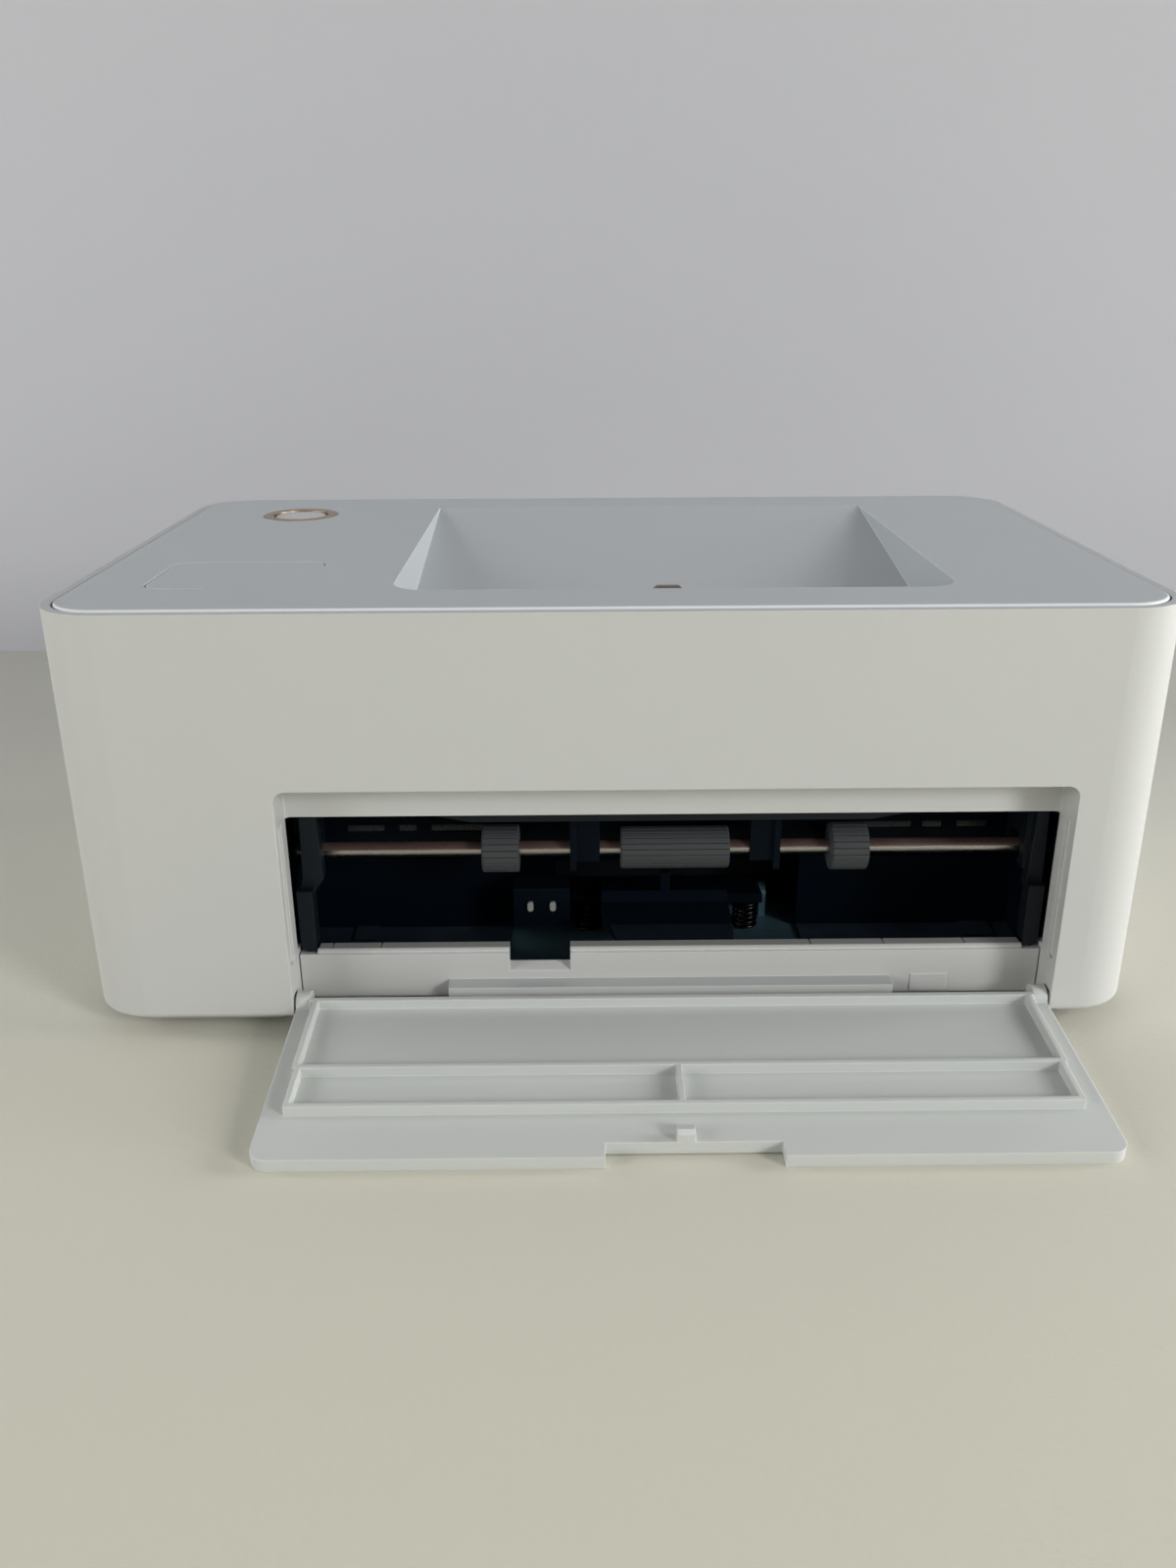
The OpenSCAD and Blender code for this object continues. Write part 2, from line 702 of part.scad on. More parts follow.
module top_cover() color("white") from_front() difference() {
    margin = rim_w + cover_gap;
    locate = shell_wall + fit_gap;
    union() {
        translate([0, body_d - margin, cover_top]) rotate([180, 0, 0])
            soft_box(body_w - 2 * margin, body_d - 2 * margin, cover_t, corner_r - margin, cover_edge_r);
        // Moulded tub of the dock
        intersection() {
            along_x(dock_x - dock_w / 2 - dock_wall, dock_x + dock_w / 2 + dock_wall)
                dock_profile(dock_wall);
            linear_extrude(cover_top - 1) dock_plan(dock_wall);
            linear_extrude(cover_top - 1) body_plan(locate);
        }
        // Wall that locates the cover inside the shell
        translate([0, 0, cover_under - locating_h]) linear_extrude(locating_h + eps) difference() {
            body_plan(locate);
            body_plan(locate + locating_t);
        }
        post_places() translate([0, 0, base_top]) cylinder(h = cover_under - base_top + eps, r = post_r);
        for (s = [-1, 1]) translate([button_x + s * switch_post_x, button_y, switch_z])
            cylinder(h = switch_drop + eps, r = switch_post_r);
    }
    intersection() {
        along_x(dock_x - dock_w / 2, dock_x + dock_w / 2) dock_profile(0);
        linear_extrude(cover_top + 5) dock_plan(0);
    }
    // Slot for the rocker and its cradle
    block([plug_x - dock_slot_w / 2, dock_front_land + fit_gap, rocker_z - cradle_h],
        [plug_x + dock_slot_w / 2, rocker_y + rocker_r + 2 * fit_gap, cover_top]);
    // Seat of the ring and the hole for its sleeve
    translate([button_x, button_y, cover_top - ring_seat])
        cylinder(h = ring_seat + 1, r = ring_d / 2 + eps);
    translate([button_x, button_y, cover_under - 1]) cylinder(h = cover_t + 2, r = sleeve_r + eps);
    // Engraved touch mark: an open frame with rounded corners
    translate([mark_x, mark_y, cover_top - mark_line]) linear_extrude(1) difference() {
        plan(mark_w, mark_len, mark_r);
        translate([0, mark_line]) plan(mark_w - 2 * mark_line, mark_len - 2 * mark_line,
            mark_r - mark_line);
        translate([-mark_r, -1]) square([mark_w, mark_len - mark_r]);
    }
    post_places() translate([0, 0, base_top - 1]) cylinder(h = pilot_len + 1, r = pilot_r);
}

module foot_places() {
    for (s = [-1, 1], y = foot_y) translate([s * foot_x, y, 0]) children();
}

module base_plate() color("gainsboro") from_front() difference() {
    inset = shell_wall + fit_gap;
    union() {
        translate([0, 0, base_low]) linear_extrude(base_t) body_plan(inset);
        // Upstanding edge inside the shell, open in front of the bay
        translate([0, 0, base_low]) linear_extrude(base_t + tray_h) difference() {
            body_plan(inset);
            body_plan(inset + tray_t);
            translate([recess_x, 0]) square([recess_w + 4 * jamb_t, 2 * bay_len], center = true);
        }
        // Stiffening ribs under the engine
        for (y = [supply_y + 6, takeup_y - 5]) block([bay_l + 4, y, base_low],
            [bay_rr - 4, y + tray_t, base_top + 3]);
        // Pegs under the two boards
        for (x = [2, board_w - 2], y = [2, board_len - 2])
            translate([board_x + x, board_back - y, base_low]) cylinder(h = board_z - base_low, r = peg_r);
        for (x = [usb_x - usb_w / 2, jack_x + jack_w / 2 - 1])
            translate([x, back_wall_y - jack_len + 3, base_low])
                cylinder(h = socket_board_z - base_low, r = peg_r);
    }
    // The door and the sill stand in front of this edge
    block([recess_l - jamb_t - fit_gap, 0, 0], [recess_rr + jamb_t + fit_gap, bay_front, 2 * tray_h]);
    foot_places() translate([0, 0, -1]) cylinder(h = base_low + foot_seat + 1, r = foot_r + eps);
    post_places() {
        cylinder(h = base_top + 1, r = screw_r + fit_gap);
        cylinder(h = base_low + 1, r = screw_head_r + fit_gap);
        translate([0, 0, base_top]) cylinder(h = 2 * tray_h, r = post_r + fit_gap);
    }
    for (i = [0:base_slots]) translate([recess_x - 29.4 + i * 6, takeup_y + 4, 0]) cube([2.5, 8, 10]);
}

module rubber_feet() color("dimgray") from_front()
    foot_places() cylinder(h = base_low + foot_seat, r = foot_r);

module case_screws() color("silver") from_front() post_places() {
    translate([0, 0, base_low + 1 - screw_head_t]) difference() {
        cylinder(h = screw_head_t, r = screw_head_r);
        for (a = [0, 90]) rotate([0, 0, a]) cube([2.4, 0.5, 0.6], center = true);
    }
    translate([0, 0, base_low + 1 - eps]) cylinder(h = screw_len, r = screw_r);
}

// Notch that lets the cassette's code tab through; its floor rises towards the back
module code_notch() {
    along_x(code_x - code_w / 2, code_x + code_w / 2) polygon([[recess_depth - 1, code_low],
        [recess_depth, code_low], [sill_back + eps, code_low + 1],
        [recess_depth + flange_len + 1, code_low + 1], [recess_depth + flange_len + 1, sill_top + 1],
        [recess_depth - 1, sill_top + 1]]);
}

module front_sill() color("white") from_front() difference() {
    step = 0.35;
    union() {
        // Wall, ledge with its step, and the flange that leads the paper in
        along_x(recess_l + fit_gap, recess_rr - fit_gap) polygon([
            [recess_depth, skirt_gap], [recess_depth, sill_top - ledge_h],
                [recess_depth + step, sill_top - ledge_h],
            [recess_depth + step, sill_top - ledge_h + step], [recess_depth + ledge_in, sill_top - fit_gap],
            [recess_depth + ledge_in, strip_low], [recess_depth + flange_len, strip_low],
            [recess_depth + flange_len, sill_top - flange_h], [sill_back, sill_top - flange_h - 0.8],
            [sill_back, base_top + 1.2], [bay_front + 0.7, base_top + 1.2],
            [bay_front + 0.7, base_top], [bay_front, base_top], [bay_front - fit_gap, skirt_gap]]);
        // Stiffening shelf with a sloping top
        along_x(recess_x - shelf_w / 2, recess_x + shelf_w / 2) polygon([
            [recess_depth + step, shelf_top + 0.2], [recess_depth - shelf_out, shelf_top - eps],
            [recess_depth - shelf_out, shelf_low], [recess_depth + step, shelf_low]]);
        // Pad that was left for a mark
        block([recess_rr - pad_from_right - pad_w, recess_depth - 0.15, 3.2],
            [recess_rr - pad_from_right, sill_back, 6.2]);
    }
    // Room for the feet of the paper guides
    both_sides(recess_x) block([recess_w / 2 - finger_room, recess_depth + step, sill_top - ledge_h],
        [recess_w, bay_len, sill_top + 1]);
    code_notch();
}

// Strip that leads the paper over the sill, in lengths with fine joints
module sill_strip() color("darkgray") from_front() difference() {
    half = recess_w / 2 - finger_room - fit_gap;
    block([recess_x - half, recess_depth + ledge_in, strip_low],
        [recess_x + half, recess_depth + flange_len, sill_top - fit_gap]);
    for (x = strip_joints) block([x, recess_depth, sill_top - fit_gap - strip_cut],
        [x + strip_cut, bay_len, sill_top]);
    code_notch();
}

/* ---- bay ---- */

module bay_frame() color("#17191b") from_front() difference() {
    hood_low = window_z - 0.4;
    skin_t = 0.5;
    union() {
        for (x = [bay_l - bay_wall, bay_rr]) block([x, bay_front, base_top],
            [x + bay_wall, bay_len, bay_top]);
        block([bay_l - bay_wall, bay_front, bay_top], [bay_rr + bay_wall, bay_len, bay_top + bay_wall]);
        // Partition above the paper's way, bent back into the throat's upper lip
        along_x(bay_l - eps, bay_rr + eps) polygon([[partition_y, bay_top + eps], [partition_y, hood_low],
            [partition_y, throat_low + throat_h - 1.8], [bay_len, throat_low + throat_h],
                [bay_len, throat_low + throat_h + 1.6],
            [partition_y + partition_t, hood_low], [partition_y + partition_t, bay_top + eps]]);
        // Wall at the back with the throat's lower lip
        along_x(bay_l - eps, bay_rr + eps) polygon([[bay_len - 6, throat_low - 1.6], [bay_len, throat_low],
            [bay_len, floor_top + eps], [bay_len - 1.6, floor_top + eps],
                [bay_len - 1.6, throat_low - 2.4]]);
        // Black floor on both sides of the lift plate, stepped up into a wall behind it
        for (x = [[bay_l - eps, sensor_l - 0.6], [lift_x + lift_wing_w / 2 + 6.5, bay_rr + eps]])
            along_x(x[0], x[1]) polygon([[bay_front + 1, floor_top], [bay_front + 1, floor_top + skin_t],
                [ledge_y, floor_top + skin_t], [ledge_y, throat_low - 1.6], [bay_len - 5, throat_low - 1.6],
                [bay_len - 5, throat_low - 3], [ledge_y + partition_t, throat_low - 3],
                [ledge_y + partition_t, floor_top]]);
        // Pads that the cassette slides onto
        for (x = [[bay_l + 7.1, 3.9], [bay_rr - 8.5, 5.1]])
            block([x[0], ledge_y - 5, floor_top], [x[0] + x[1], ledge_y + eps, floor_top + skin_t + 0.3]);
        // Rails under the ceiling that the guides hang on
        for (x = [bay_l - eps, bay_rr - 1]) block([x, bay_front, bay_top - rail_h],
            [x + 1 + eps, partition_y, bay_top + eps]);
    }
    for (w = windows) block([w[0], partition_y - 1, window_z],
        [w[0] + w[1], partition_y + partition_t + 1, window_z + window_h]);
    bar_x(bay_l - bay_wall - 1, bay_rr + bay_wall + 1, feed_c, bush_r);
    bar_x(bay_l - bay_wall - 1, bay_l + 1, idler_a_c, stud_r);
    // Room for the lugs that carry the lift plate
    block([lift_x - lift_wing_w / 2 - 3, lift_pin_y - 2.5, 0],
        [lift_x + lift_wing_w / 2 + 3, bay_len + 1, lift_top]);
}

// Smoked strip behind the partition, with a pane in each window
module window_strip() color("#2a2e31") from_front() {
    back = partition_y + partition_t;
    block([windows[0][0] - 1, back, window_z - 0.3],
        [windows[5][0] + windows[5][1] + 1, back + 0.6, window_z + window_h + 0.6]);
    for (w = windows) block([w[0], partition_y + 0.3, window_z],
        [w[0] + w[1], back + eps, window_z + window_h]);
}

module bay_floor_plate() color("slategray") from_front() difference() {
    union() {
        block([bay_l, bay_front + 1, base_top], [bay_rr, bay_len - fit_gap, floor_top]);
        both_sides(lift_x) along_x(lift_wing_w / 2 + wing_gap, lift_wing_w / 2 + wing_gap + lug_t) {
            translate([lift_pin_y - lug_r, floor_top - eps])
                square([2 * lug_r, lift_pin_z - floor_top + eps]);
            translate([lift_pin_y, lift_pin_z]) circle(lug_r);
        }
    }
    bar_x(lift_x - lift_wing_w, lift_x + lift_wing_w, [lift_pin_y, lift_pin_z], lift_pin_r + run_fit);
}

// Paper guide for the right side of the bay, drawn about the bay's middle. Its upper block is
// w wide and stands the gap g inside the recess's side
module paper_guide(g, w) {
    edge = recess_w / 2;
    wall = edge + 1.2;
    outer = edge - g;
    low = feed_z - 2.1;
    finger_w = 2.5;
    finger_x = edge - 0.4 - finger_w / 2;
    finger_low = sill_top - ledge_h + fit_gap;
    finger_top = low - 1.3;
    front = bay_front + fit_gap;
    back = partition_y - 2;
    spine = [edge - 3, edge - 1.8];
    difference() {
        union() {
            // Upper block, wider at its foot, and the spine that holds it on the bay's wall
            along_y(front, front + 2.2) polygon([[outer - w, low], [outer, low], [outer - 0.3, bay_top],
                [outer - w + 0.5, bay_top]]);
            block([spine[0], front + 2, low], [spine[1], back, bay_top - rail_h]);
            block([spine[0], back - 4, low], [wall, back, bay_top - rail_h]);
            // Lower finger with a round foot, which stands over the sill's ledge
            along_y(recess_depth + 0.7, front + 1) {
                translate([finger_x - finger_w / 2, finger_low + finger_w / 2])
                    square([finger_w, finger_top - finger_low - finger_w / 2]);
                translate([finger_x, finger_low + finger_w / 2]) circle(finger_w / 2);
            }
            // Slanting shoulder between the two
            along_y(front, front + 2.2) polygon([[finger_x - finger_w / 2, finger_top - 1],
                [finger_x + finger_w / 2, finger_top - 1], [outer, low + eps], [outer - w, low + eps]]);
        }
        bar_x(edge - 2 * hanger_x, wall + 1, feed_c, bush_r + 1.5 * fit_gap);
    }
}
module paper_guides() color("#202325") from_front() translate([recess_x, 0, 0]) {
    mirror([1, 0, 0]) paper_guide(1.2, 3.3);
    paper_guide(0.3, 2.4);
}

module guide_beam() color("#1b1e20") from_front() difference() {
    front = bay_front + fit_gap;
    back = feed_y - fork_d / 2 - fit_gap;
    low = opening_top - 2.2;
    beam_l = roller_pitch + 4.1;
    beam_r = roller_pitch + 1.9;
    beam_run = 6;
    beam_rise = 1.15;
    union() {
        // Beam across the mouth, with ends that run up to the ceiling
        along_y(front, back) translate([feed_x, 0]) polygon([[-beam_l - beam_run - 1, bay_top],
            [-beam_l - beam_run, low + beam_rise], [-beam_l, low], [beam_r, low],
            [beam_r + beam_run, low + beam_rise], [beam_r + beam_run + 1, bay_top]]);
        block([feed_x - roller_pitch, back - eps, low - 0.9],
            [feed_x + roller_pitch, partition_y - fit_gap, low + 0.6]);
    }
    both_sides(feed_x) block([hanger_x - hanger_w, back - eps, low - 2],
        [hanger_x + hanger_w, feed_y + fork_d / 2 + fit_gap, bay_top + 1]);
}

// Each hanger is a block with a thin fork beside it; the two mirror each other
module shaft_hangers() color("#141618") from_front() both_sides(feed_x) difference() {
    union() {
        block([hanger_x - hanger_w / 2, feed_y - hanger_d / 2, feed_z - hanger_drop],
            [hanger_x + hanger_w / 2, feed_y + hanger_d / 2, bay_top]);
        block([hanger_x + hanger_w / 2 - eps, feed_y - fork_d / 2, feed_z - fork_drop],
            [hanger_x + hanger_w / 2 + fork_t, feed_y + fork_d / 2, bay_top]);
    }
    bar_x(0, 2 * hanger_x, feed_c, feed_shaft_d / 2 + run_fit);
}

module feed_bushes() color("ivory") from_front() both_sides(recess_x) difference() {
    inner = recess_w / 2 + 1.2;
    union() {
        bar_x(inner - bush_flange, inner + bay_wall + bush_flange, feed_c, bush_r);
        bar_x(inner + bay_wall, inner + bay_wall + bush_flange, feed_c, bush_r + 1);
    }
    bar_x(0, body_w, feed_c, feed_shaft_d / 2 + run_fit);
}

module sensor_block() color("#0e0f10") from_front() difference() {
    // Block that hangs in front of its leg
    along_x(sensor_l, sensor_l + sensor_w) polygon([[sensor_y, sensor_low], [sensor_y, sensor_top],
        [sensor_y + 5.5, sensor_top], [sensor_y + 5.5, sensor_low + 2], [sensor_y + 10, sensor_low + 2],
        [sensor_y + 10, floor_top], [sensor_y + 8.5, floor_top], [sensor_y + 8.5, sensor_low]]);
    both_sides(code_x) block([contact_pitch / 2 - contact_w / 2, sensor_y - 1, contact_z - contact_h / 2],
        [contact_pitch / 2 + contact_w / 2, sensor_y + 1.5, contact_z + contact_h / 2]);
}

module sensor_pins() color("gainsboro") from_front() both_sides(code_x)
    along_y(sensor_y - 0.5, sensor_y + 1.5) translate([contact_pitch / 2, contact_z]) {
        half = (contact_h - contact_w) / 2;
        square([contact_w, 2 * half], center = true);
        for (s = [-1, 1]) translate([0, s * half]) circle(contact_w / 2);
    }

/* ---- front door ---- */

// Rib across the door's inner face, with its upper edge v below the free edge
module cross_rib(v, x0, x1, t) {
    block([x0, door_t - eps, door_top - v - t], [x1, door_t + rib_h, door_top - v]);
}

// The door is drawn closed
module door_closed() {
    l = recess_l + door_gap;
    r = l + door_w;
    inner_l = l + side_rib_in;
    inner_r = r - side_rib_in;
    difference() {
        union() {
            along_y(0, door_t) arch(l, r, hinge_z - door_tail, door_top, door_r);
            cross_rib(upper_rib, inner_l, inner_r, rib_t);
            cross_rib(lower_rib, inner_l, inner_r, rib_t);
            cross_rib(hinge_rib, inner_l - 1, inner_r + 1, rib_t + eps);
            // Side ribs, stepped outwards below the lower cross rib
            for (x = [[inner_l, inner_l - rib_step], [inner_r - rib_t, inner_r - rib_t + rib_step]]) {
                block([x[0], door_t - eps, door_top - lower_rib - rib_t],
                    [x[0] + rib_t, door_t + rib_h, door_top - upper_rib]);
                block([x[1], door_t - eps, door_top - hinge_rib - eps],
                    [x[1] + rib_t, door_t + rib_h, door_top - lower_rib]);
            }
            block([latch_x - rib_t / 2, door_t - eps, door_top - lower_rib],
                [latch_x + rib_t / 2, door_t + rib_h, door_top - upper_rib]);
            // Nub that grips the recess, beside the notch
            along_x(latch_x - latch_w / 2, latch_x + latch_w / 2) polygon([
                [door_t - eps, door_top - notch_d], [door_t + 0.8 * rib_h, door_top - notch_d],
                [door_t + rib_h, door_top - notch_d - 0.7],
                    [door_t + 0.9 * rib_h, door_top - notch_d - latch_len],
                [door_t - eps, door_top - notch_d - latch_len]]);
            // Knuckles and pins
            for (x = [l, r - knuckle_w]) bar_x(x, x + knuckle_w, [door_t, hinge_z], knuckle_r);
            bar_x(recess_l - hinge_pin_len + fit_gap, l + 1, [door_t, hinge_z], hinge_pin_r);
            bar_x(r - 1, recess_rr + hinge_pin_len - fit_gap, [door_t, hinge_z], hinge_pin_r);
        }
        block([notch_x - notch_w / 2, -1, door_top - notch_d],
            [notch_x + notch_w / 2, door_t + 1, door_top + 1]);
    }
}

module front_door() color("white") from_front()
    translate([0, door_t, hinge_z]) rotate([door_swing, 0, 0]) translate([0, -door_t, -hinge_z])
        door_closed();

/* ---- paper feed ---- */

module feed_shaft() color("silver") from_front()
    bar_x(gear_x - 1, bay_rr + bay_wall + 1, feed_c, feed_shaft_d / 2);

// Rubber roller with shallow grooves along it
module pick_roller(x, w, d, grooves) color("#4a4e4f") from_front() difference() {
    groove = 0.25;
    bar_x(x - w / 2, x + w / 2, feed_c, d / 2);
    bar_x(x - w, x + w, feed_c, feed_shaft_d / 2);
    for (i = [0:grooves - 1]) translate([x, feed_y, feed_z]) rotate([i * 360 / grooves, 0, 0])
        translate([0, 0, d / 2]) cube([w + 2, groove, 2 * groove], center = true);
}
module pick_roller_left() pick_roller(feed_x - roller_pitch, side_roller_w, side_roller_d, 22);
module pick_roller_middle() pick_roller(feed_x, mid_roller_w, mid_roller_d, 22);
module pick_roller_right() pick_roller(feed_x + roller_pitch, side_roller_w, side_roller_d, 22);

module feed_gear() color("ivory") from_front() spur(feed_teeth, feed_c, feed_turn, feed_shaft_d / 2);

module lift_plate() color("#101214") from_front() difference() {
    lip = bay_front + 0.6;
    lip_run = 1.9;
    tongue_reach = 9.8;
    tongue_l = lift_x + tongue_reach - lift_w;
    slant = 2.2;
    slant_run = 5.3;
    step_y = feed_y + 3.5;
    ridge_y = partition_y - 1;
    ridge_top = lift_top + 1.4;
    top_back = lift_pin_z + lift_boss_r + 0.6;
    tail = lift_pin_y + lift_boss_r - 0.5;
    union() {
        // Tongue under the pick rollers, with a sloping front edge and a ridge behind them
        along_x(tongue_l, tongue_l + lift_w) polygon([
            [lip, sill_top], [lip + lip_run, lift_top], [step_y, lift_top], [ridge_y, ridge_top],
            [tail, top_back], [tail, top_back - lift_t], [ridge_y, ridge_top - lift_t],
            [step_y, lift_top - lift_t], [lip + lip_run, lift_top - lift_t], [lip, sill_top - 0.8]]);
        // Wings over the springs
        along_x(lift_x - lift_wing_w / 2, lift_x + lift_wing_w / 2) polygon([
            [spring_y - 2.6, top_back + 1.3], [tail, top_back], [tail, top_back - lift_t],
                [spring_y - 2.6, top_back - 0.4]]);
        bar_x(lift_x - lift_wing_w / 2, lift_x + lift_wing_w / 2, [lift_pin_y, lift_pin_z], lift_boss_r);
        bar_x(lift_x - lift_wing_w / 2 - wing_gap - lug_t, lift_x + lift_wing_w / 2 + wing_gap + lug_t,
            [lift_pin_y, lift_pin_z], lift_pin_r);
        // Pegs inside the springs, and a finger in the middle that holds back the second sheet
        both_sides(lift_x) translate([spring_x, spring_y, spring_high - 1])
            cylinder(h = 1.6, r = spring_d / 2 - spring_wire - 0.4);
        block([feed_x - 1.7, partition_y - 0.6, lift_top - lift_t],
            [feed_x - 0.2, partition_y + 0.8, lift_top + 4.5]);
    }
    // The lip's left end slants inwards
    translate([tongue_l, lip, 0]) linear_extrude(2 * lift_top)
        polygon([[-1, -1], [slant, -1], [slant, 0], [0, slant_run], [-1, slant_run]]);
}

// Coil from z = 0 up to the given height; its rings of points follow a helix
module coil(h) {
    mean_r = (spring_d - spring_wire) / 2;
    wire_r = spring_wire / 2;
    pts = [for (i = [0:rings - 1], k = [0:ring_sides - 1])
        let (t = i / (rings - 1), a = 360 * spring_turns * t, b = 360 * k / ring_sides,
            r = mean_r + wire_r * cos(b))
        [r * cos(a), r * sin(a), wire_r + t * (h - spring_wire) + wire_r * sin(b)]];
    polyhedron(pts, concat(
        [[for (k = [0:ring_sides - 1]) k]],
        [for (i = [0:rings - 2], k = [0:ring_sides - 1]) let (n = (k + 1) % ring_sides)
            [i * ring_sides + k, (i + 1) * ring_sides + k, (i + 1) * ring_sides + n, i * ring_sides + n]],
        [[for (k = [ring_sides - 1:-1:0]) (rings - 1) * ring_sides + k]]));
}
module lift_springs() color("#33302a") from_front()
    for (s = [-1, 1]) translate([lift_x + s * spring_x, spring_y, floor_top]) coil(spring_high - floor_top);

/* ---- print engine ---- */

module engine_frame() color("#22262a") from_front() difference() {
    union() {
        for (x = [bay_l - bay_wall, bay_rr]) along_x(x, x + bay_wall) polygon([
            [cheek_front, base_top], [cheek_back, base_top], [cheek_back, pivot_z],
                [pivot_y - 2, cheek_top],
            [platen_y - 7, cheek_top - 2], [capstan_y, cheek_top - 8], [cheek_front, spool_z + 2]]);
        // Cross bars join the two cheeks, below and above the paper
        for (b = cross_bars) block([bay_l - eps, b[0], b[1]], [bay_rr + eps, b[0] + bar_t, b[2]]);
    }
    for (c = [capstan_c, platen_c]) bar_x(bay_l - body_w, bay_rr + body_w, c, steel_r + run_fit);
    for (c = [pinch_c, pivot_c]) bar_x(bay_l - body_w, bay_rr + body_w, c, pinch_pin_r + run_fit);
    for (c = [takeup_c, supply_c]) bar_x(bay_l - bay_wall - 1, bay_l + 1, c, steel_r + run_fit);
    for (c = [idler_b_c, idler_c_c]) bar_x(bay_l - bay_wall - 1, bay_l + 1, c, stud_r);
    // The cartridge goes in through the right cheek
    block([bay_rr - 1, supply_y - spool_room, paper_z + 5],
        [bay_rr + bay_wall + 1, takeup_y + 7.5, pivot_z - 4]);
}

// Steel shaft through both cheeks to the gears
module long_shaft(c) { bar_x(gear_x - 1, bay_rr + bay_wall + 1, c, steel_r); }

// Sleeve on such a shaft
module sleeve(c, d) {
    difference() {
        bar_x(roll_l, roll_rr, c, d / 2);
        bar_x(roll_l - 1, roll_rr + 1, c, steel_r);
    }
}
module capstan_shaft() color("silver") from_front() long_shaft(capstan_c);
module capstan_roller() color("lightgray") from_front() sleeve(capstan_c, capstan_d);
module capstan_gear() color("ivory") from_front() spur(capstan_teeth, capstan_c, capstan_turn, steel_r);
module platen_shaft() color("silver") from_front() long_shaft(platen_c);
module platen_roller() color("#2c2c2c") from_front() sleeve(platen_c, platen_d);
module platen_gear() color("ivory") from_front() spur(platen_teeth, platen_c, platen_turn, steel_r);
module pinch_roller() color("dimgray") from_front() {
    bar_x(roll_l, roll_rr, pinch_c, pinch_d / 2);
    bar_x(bay_l - bay_wall, bay_rr + bay_wall, pinch_c, pinch_pin_r);
}

module idler(c, turn) color("ivory") from_front() spur(idler_teeth, c, turn, stud_r + run_fit);
module idler_gear_front() idler(idler_a_c, idler_a_turn);
module idler_gear_middle() idler(idler_b_c, idler_b_turn);
module idler_gear_rear() idler(idler_c_c, idler_c_turn);
module gear_studs() color("silver") from_front() for (c = [idler_a_c, idler_b_c, idler_c_c]) {
    bar_x(gear_x - 2 * fit_gap, bay_l, c, stud_r);
    bar_x(gear_x - 2 * fit_gap - stud_head, gear_x - fit_gap, c, stud_r + stud_head);
}

// Splined spindle for a ribbon spool, on a journal that starts at x0
module spindle(c, x0) {
    collar_x = bay_l - bay_wall - fit_gap;
    bar_x(x0, bay_l + 2, c, steel_r);
    bar_x(collar_x - stud_head, collar_x, c, steel_r + 1);
    difference() {
        bar_x(bay_l + 1, bay_l + 1 + spindle_len, c, spindle_r);
        for (i = [0:5]) translate([bay_l + 1 + spindle_len / 2, c[0], c[1]]) rotate([i * 60, 0, 0])
            translate([0, 0, spindle_r]) cube([spindle_len + 2, spline_w, spline_w], center = true);
    }
}
module takeup_spindle() color("ivory") from_front() {
    spindle(takeup_c, gear_x - stud_head);
    spur(takeup_teeth, takeup_c, takeup_turn, steel_r - eps);
}
module supply_spindle() color("ivory") from_front() spindle(supply_c,
    bay_l - bay_wall - fit_gap - stud_head);

module print_head() color("#3a3d40") from_front() {
    l = roll_l + 5;
    r = roll_rr - 5;
    half = head_t / 2;
    arm_z = pivot_z - 2;
    // Bar that presses the ribbon on the platen, and the arm back to the pivot's tube
    along_x(l, r) polygon([[platen_y - half, arm_z], [platen_y - half, head_low + half],
        [platen_y - head_tip / 2, head_low],
        [platen_y + head_tip / 2, head_low], [platen_y + half, head_low + half],
            [platen_y + half, arm_z - arm_t],
        [pivot_y, pivot_z - arm_t / 2], [pivot_y, pivot_z + arm_t / 2]]);
    bar_x(l, r, pivot_c, pivot_tube_r);
    bar_x(bay_l - bay_wall, l + 1, pivot_c, pivot_r);
    bar_x(r - 1, bay_rr + bay_wall, pivot_c, pivot_r);
}

module head_heat_sink() color("lightgray") from_front() difference() {
    face = platen_y - head_t / 2;
    l = roll_l + 8;
    r = roll_rr - 8;
    low = paper_z + 8;
    pitch = (sink_top - low) / (fins + 1);
    block([l, face - sink_t, low], [r, face, sink_top]);
    for (i = [1:fins]) translate([l - 1, face - sink_t - 1, low + i * pitch - 0.7])
        cube([r - l + 2, sink_t - 0.6, 1.4]);
}

module motor_bracket() color("silver") from_front() difference() {
    union() {
        bar_x(bracket_x, bracket_x + bracket_t, pinion_c, bracket_r);
        for (a = bracket_legs)
            bar_x(bracket_x, bay_l - bay_wall, pinion_c + (bracket_r - 0.5) * [cos(a), sin(a)], stud_r);
    }
    bar_x(bracket_x - 1, bracket_x + bracket_t + 1, pinion_c, hub_r + fit_gap);
}

module drive_motor() color("silver") from_front() {
    bar_x(bracket_x - motor_len, bracket_x, pinion_c, motor_d / 2);
    difference() {
        bar_x(bracket_x - 0.5, bracket_x + bracket_t, pinion_c, hub_r);
        bar_x(bracket_x, bracket_x + bracket_t + 1, pinion_c, pinion_shaft_r + run_fit);
    }
}

module motor_pinion() color("goldenrod") from_front() {
    spur(pinion_teeth, pinion_c, pinion_turn, pinion_shaft_r - eps);
    bar_x(bracket_x + fit_gap, gear_x + gear_t, pinion_c, pinion_shaft_r);
}

module main_board() color("darkgreen") from_front() {
    block([board_x, board_back - board_len, board_z], [board_x + board_w, board_back, board_z + board_t]);
    for (p = [[2.5, 15, 8], [8, 6.5, 5]]) translate([board_x + p[0], board_back - p[1],
        board_z + board_t - eps])
        cube([p[2], p[2], chip_h]);
}

